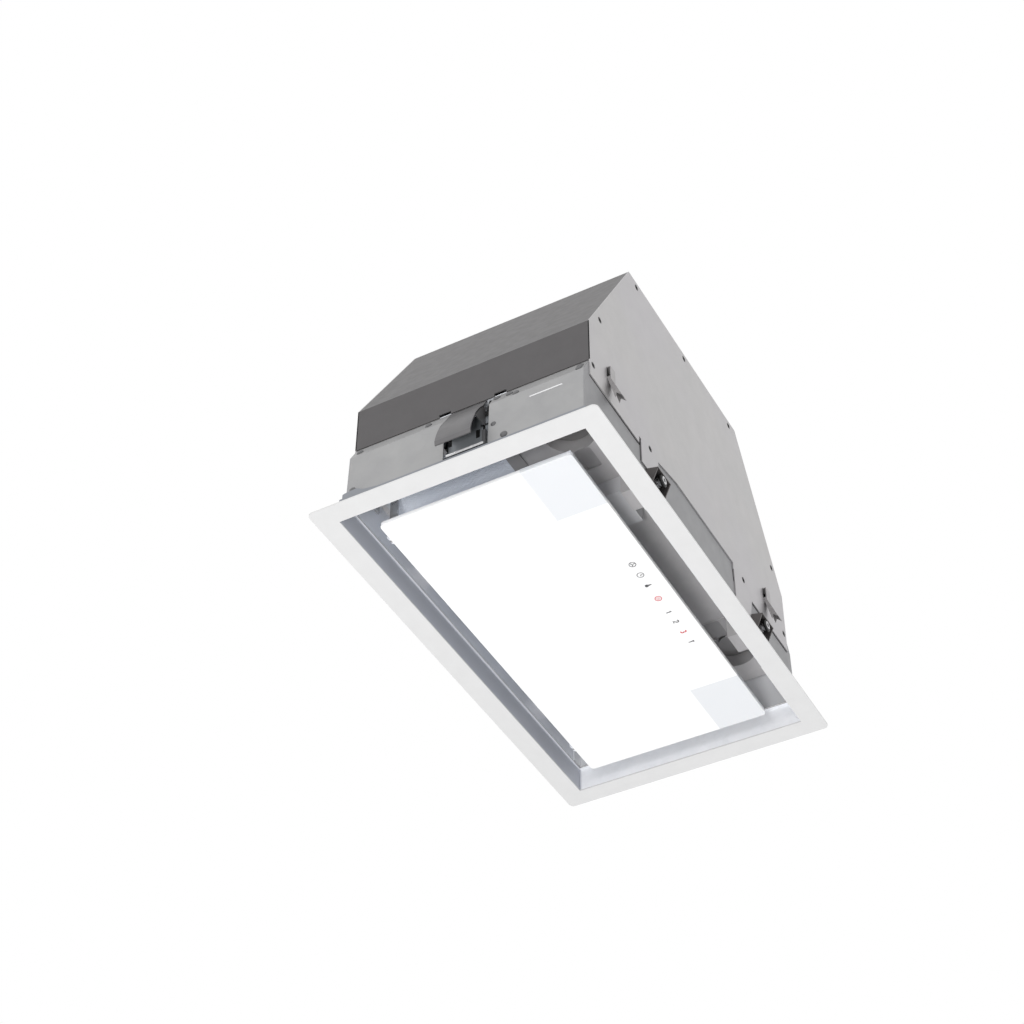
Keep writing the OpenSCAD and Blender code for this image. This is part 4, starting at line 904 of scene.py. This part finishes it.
def window_plate(side, word):
    bm = bmesh.new()
    y0 = WINDOW_Y0 + PLATE_GAP
    y1 = WINDOW_Y1 - PLATE_GAP
    along_y(bm, rectangle(PLATE_X - SHEET, PLATE_X, PLATE_Z0, PLATE_Z1), y0, y1, side)
    for y in (y0, y1 - SHEET):
        along_y(bm, rectangle(CHEEK_X, PLATE_X, PLATE_Z0, PLATE_Z1), y, y + SHEET, side)
    along_y(bm, rectangle(PLATE_X, SHELF_X, PLATE_Z0, PLATE_Z0 + SHEET), y0, y1, side)
    plate = solid("window_plate_" + word, bm, m_plate, "housing")
    if side < 0:
        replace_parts(plate, "clamp_plates")
    # the slots are near-black strips on the plate: painted shade in place of openings
    bm = bmesh.new()
    for y0, y1, z0, z1 in PLATE_SLOTS:
        along_y(bm, rectangle(PLATE_X - SLOT_SINK, PLATE_X + SLOT_PROUD, z0, z1), y0, y1, side)
    solid("plate_slots_" + word, bm, m_painted_shade, "housing")
    # a dark grey strip beside the cheek: painted shade
    bm = bmesh.new()
    along_y(bm, CHEEK_SHADE, CHEEK_SHADE_Y0, CHEEK_SHADE_Y1, side)
    solid("window_cheek_shade_" + word, bm, M["motor_dark"], "housing")


def window_rods(side, word):
    bm = bmesh.new()
    along_y(bm, circle(*PIVOT_ROD, ROD_STEPS), WINDOW_Y0, WINDOW_Y1, side)
    along_y(bm, circle(*SILL_ROD, ROD_STEPS), SILL_ROD_Y0, SILL_ROD_Y1, side)
    rods = solid("window_rods_" + word, bm, m_rod, "housing")
    if side < 0:
        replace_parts(rods, "clamp_rods")


def window_top(side, word):
    bm = bmesh.new()
    along_y(bm, HEADER, HEADER_Y0, WINDOW_Y1, side)
    solid("window_header_" + word, bm, m_header, "housing")
    bm = bmesh.new()
    along_y(bm, CORNER, WINDOW_Y0, CORNER_Y1, side)
    solid("window_corner_" + word, bm, m_painted_shade, "housing")


def bow_point(t):
    """A point on the curve from the start to the end, drawn towards the pull."""
    return tuple((1 - t) ** 2 * a + 2 * t * (1 - t) * b + t * t * c
                 for a, b, c in zip(BOW_START, BOW_PULL, BOW_END))


def end_lever(side, word):
    bow = [bow_point(k / BOW_STEPS) for k in range(BOW_STEPS + 1)] + [BOW_LIP]
    inner = [(x - LEVER_SHEET, z - LEVER_DROP) for x, z in bow]
    bm = bmesh.new()
    along_y(bm, bow + inner[::-1], LEVER_Y0, LEVER_Y1, side)
    for y in (LEVER_Y0, LEVER_Y1 - LEVER_SHEET):
        along_y(bm, bow[:LEVER_CHEEK_POINTS] + list(LEVER_CHEEK), y, y + LEVER_SHEET, side)
    lever = solid("lever_" + word, bm, M["lever_grey"], "lever_" + word)
    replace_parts(lever, "clamp_lever_" + word)
    soften(lever, LEVER_ROUND, ROUND_ANGLE)


for side, word in ENDS:
    end_wall(side, word)
    end_jamb(side, word)
    window_plate(side, word)
    window_rods(side, word)
    window_top(side, word)
    end_lever(side, word)

# tray behind the glass, with its rim cut down along the front and sides and at the rear corners
RIM_Z = (12.2 * MM, 30 * MM)
TRAY_CUT_X = 250 * MM
TRAY_CUT_Y = -130 * MM
REAR_STRIP = 7.5 * MM
TRAY_CORNER_X = 186 * MM
TRAY_CORNER_Y = (0.0, 125 * MM)
glass_rear_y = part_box("glass_panel")[1][1]
recut("panel_tray", "tray_low", "panel", "box_zinc",
      [((-TRAY_CUT_X, TRAY_CUT_X), (TRAY_CUT_Y, glass_rear_y - REAR_STRIP), RIM_Z),
       ((-TRAY_CUT_X, -TRAY_CORNER_X), TRAY_CORNER_Y, RIM_Z),
       ((TRAY_CORNER_X, TRAY_CUT_X), TRAY_CORNER_Y, RIM_Z)], m_inner_painted_light)

# small plates of the slot in mm: over the cable recess of each lamp mount, the divider bar beside each
# filter, and the ledge at each end of the lip
SLOT_PLATES = (
    ("recess_plate_", (114.0, 146.0), (-87.0, -65.0), (65.5, 66.5), m_recess, "box_zinc"),
    ("divider_bar_", (132.0, 214.0), (-26.0, -13.0), (62.5, 64.8), m_recess, "box_zinc"),
    ("lip_ledge_", (219.8, 226.2), (-119.4, 119.4), (24.65, 25.3), m_carrier, "lip_zinc"),
)
# the lip's raised rear corners, as (y, z) points
RIDGE = ((118.0, 24.0), (118.0, 30.6), (116.0, 31.4), (104.0, 32.6), (96.5, 28.6), (79.0, 25.6), (79.0, 24.0))
RIDGE_X0 = 225.7
RIDGE_X1 = 226.3
for side, word in ENDS:
    for start, xs, ys, zs, mat, slot in SLOT_PLATES:
        bm = bmesh.new()
        along_x(bm, rectangle(*ys, *zs), *xs, side)
        solid(start + word, bm, mat, "housing")
    bm = bmesh.new()
    along_x(bm, RIDGE, RIDGE_X0, RIDGE_X1, side)
    solid("lip_corner_" + word, bm, M["lip_zinc"], "housing")

# flanged nuts of the clamp bolts, in mm
NUT_X = (-91.0, 134.0)
NUT_Y = 126.6
NUT_Z = 49.5
NUT_PROFILE = ((4.1, 0.0), (6.2, 0.0), (6.2, 1.6), (5.6, 2.3), (4.9, 2.3), (4.4, 1.4), (4.1, 1.4))
NUT_STEPS = 36
bm = bmesh.new()
for side in (-1, 1):
    for x in NUT_X:
        place = on_side(side, x, NUT_Y, NUT_Z)
        rings = turned(bm, place, [(r * MM, h * MM) for r, h in NUT_PROFILE], NUT_STEPS)
        band(bm, rings[-1], rings[0])
solid("clamp_nut_rings", bm, M["screw_black"], "housing", smooth=True)

# painted shadow: a dark strip along the lower edge of each end window, where shade falls under the sill
SILL_SHADOW = rectangle(WINDOW_Y0, WINDOW_Y1, 31.9, 33.2)
SHADOW_SINK = 0.05
SHADOW_PROUD = 0.06
bm = bmesh.new()
for side, word in ENDS:
    prism(bm, *([(side * (wall_out(z) + out) * MM, y * MM, z * MM) for y, z in SILL_SHADOW]
                for out in (-SHADOW_SINK, SHADOW_PROUD)))
solid("window_shadow", bm, m_painted_shade, "housing")

# painted shadow: dark strips in the gaps beside and below the side plates as (x, z) points,
# and up the ends' outer edges
SIDE_SHADOWS = (
    rectangle(-211.2, -117.0, 77.9, 78.95),
    ((211.2, 76.95), (125.6, 76.95), (125.3, 75.9), (211.2, 75.9)),
    rectangle(-116.95, -113.05, 78.0, 86.95),
    rectangle(-114.2, -113.05, 60.0, 78.0),
    rectangle(84.35, 85.45, 72.0, 86.95),
)
SIDE_SHADOW_Y0 = 117.4
SIDE_SHADOW_Y1 = 117.5
EDGE_SHADOW_X0 = 211.2
EDGE_SHADOW_X1 = 211.26
EDGE_SHADOW_Y = (117.42, 118.58)
EDGE_SHADOW_Z = (98.0, 147.6)
bm = bmesh.new()
for side in (-1, 1):
    for outline in SIDE_SHADOWS:
        along_y(bm, outline, side * SIDE_SHADOW_Y0, side * SIDE_SHADOW_Y1)
    for front in (-1, 1):
        outline = [(front * y, z) for y, z in rectangle(*EDGE_SHADOW_Y, *EDGE_SHADOW_Z)]
        along_x(bm, outline, EDGE_SHADOW_X0, EDGE_SHADOW_X1, side)
solid("joint_shadow", bm, m_painted_shade, "housing")

# floor, light and background
FLOOR_Z = -2.7
FLOOR_HALF = 55.0
FLOOR_ROUGHNESS = 0.8
FLOOR_PATCH_SCALE = 2.0
FLOOR_PATCH_DETAIL = 2.0
WORLD_LIGHT = 0.72
LIGHT_TARGET = Vector((0, 0, 0.12))
LIGHTS = (
    ("key", (-2.0, -0.45, -1.85), 0.6, 33.0),
    ("side", (-2.6, -0.4, -0.85), 0.8, 11.0),
    ("below", (0.2, -0.2, -1.75), 2.0, 6.5),
    ("front", (0.9, -2.4, 0.5), 1.8, 9.0),
    ("above", (0.6, 0.5, 2.6), 2.2, 16.0),
)


def floor_material():
    m = bpy.data.materials.new("m_floor")
    m.use_nodes = True
    nt = m.node_tree
    p = nt.nodes["Principled BSDF"]
    patches = spread(nt, noise(nt, FLOOR_PATCH_SCALE, FLOOR_PATCH_DETAIL), 0.0, 1.0)
    nt.links.new(blend(nt, patches, rgb(250, 250, 250), rgb(247, 247, 248)), p.inputs["Base Color"])
    p.inputs["Roughness"].default_value = FLOOR_ROUGHNESS
    return m


def add_floor():
    bm = bmesh.new()
    bmesh.ops.create_grid(bm, x_segments=2, y_segments=2, size=FLOOR_HALF)
    me = bpy.data.meshes.new("floor")
    bm.to_mesh(me)
    bm.free()
    floor = bpy.data.objects.new("floor", me)
    floor.location = (0, 0, FLOOR_Z)
    scene.collection.objects.link(floor)
    me.materials.append(floor_material())
    floor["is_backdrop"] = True


def add_world():
    """White to the camera and in reflections, and a softer white as light."""
    world = bpy.data.worlds.new("world")
    scene.world = world
    world.use_nodes = True
    nt = world.node_tree
    bg = nt.nodes["Background"]
    bg.inputs["Color"].default_value = (1, 1, 1, 1)
    ray = put(nt, "ShaderNodeLightPath").outputs
    seen = maths(nt, "MAXIMUM", ray["Is Camera Ray"], ray["Is Glossy Ray"])
    seen = maths(nt, "MAXIMUM", seen, ray["Is Transmission Ray"])
    nt.links.new(spread(nt, seen, WORLD_LIGHT, 1.0, 0.0, 1.0), bg.inputs["Strength"])


def add_light(name, place, size, power):
    data = bpy.data.lights.new(name, "AREA")
    data.shape = "DISK"
    data.size = size
    data.energy = power
    o = bpy.data.objects.new(name, data)
    scene.collection.objects.link(o)
    o.location = place
    o.rotation_mode = "QUATERNION"
    o.rotation_quaternion = (LIGHT_TARGET - Vector(place)).to_track_quat("-Z", "Y")
    o.visible_camera = False
    o.visible_glossy = False


add_floor()
add_world()
for row in LIGHTS:
    add_light(*row)

lo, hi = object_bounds()
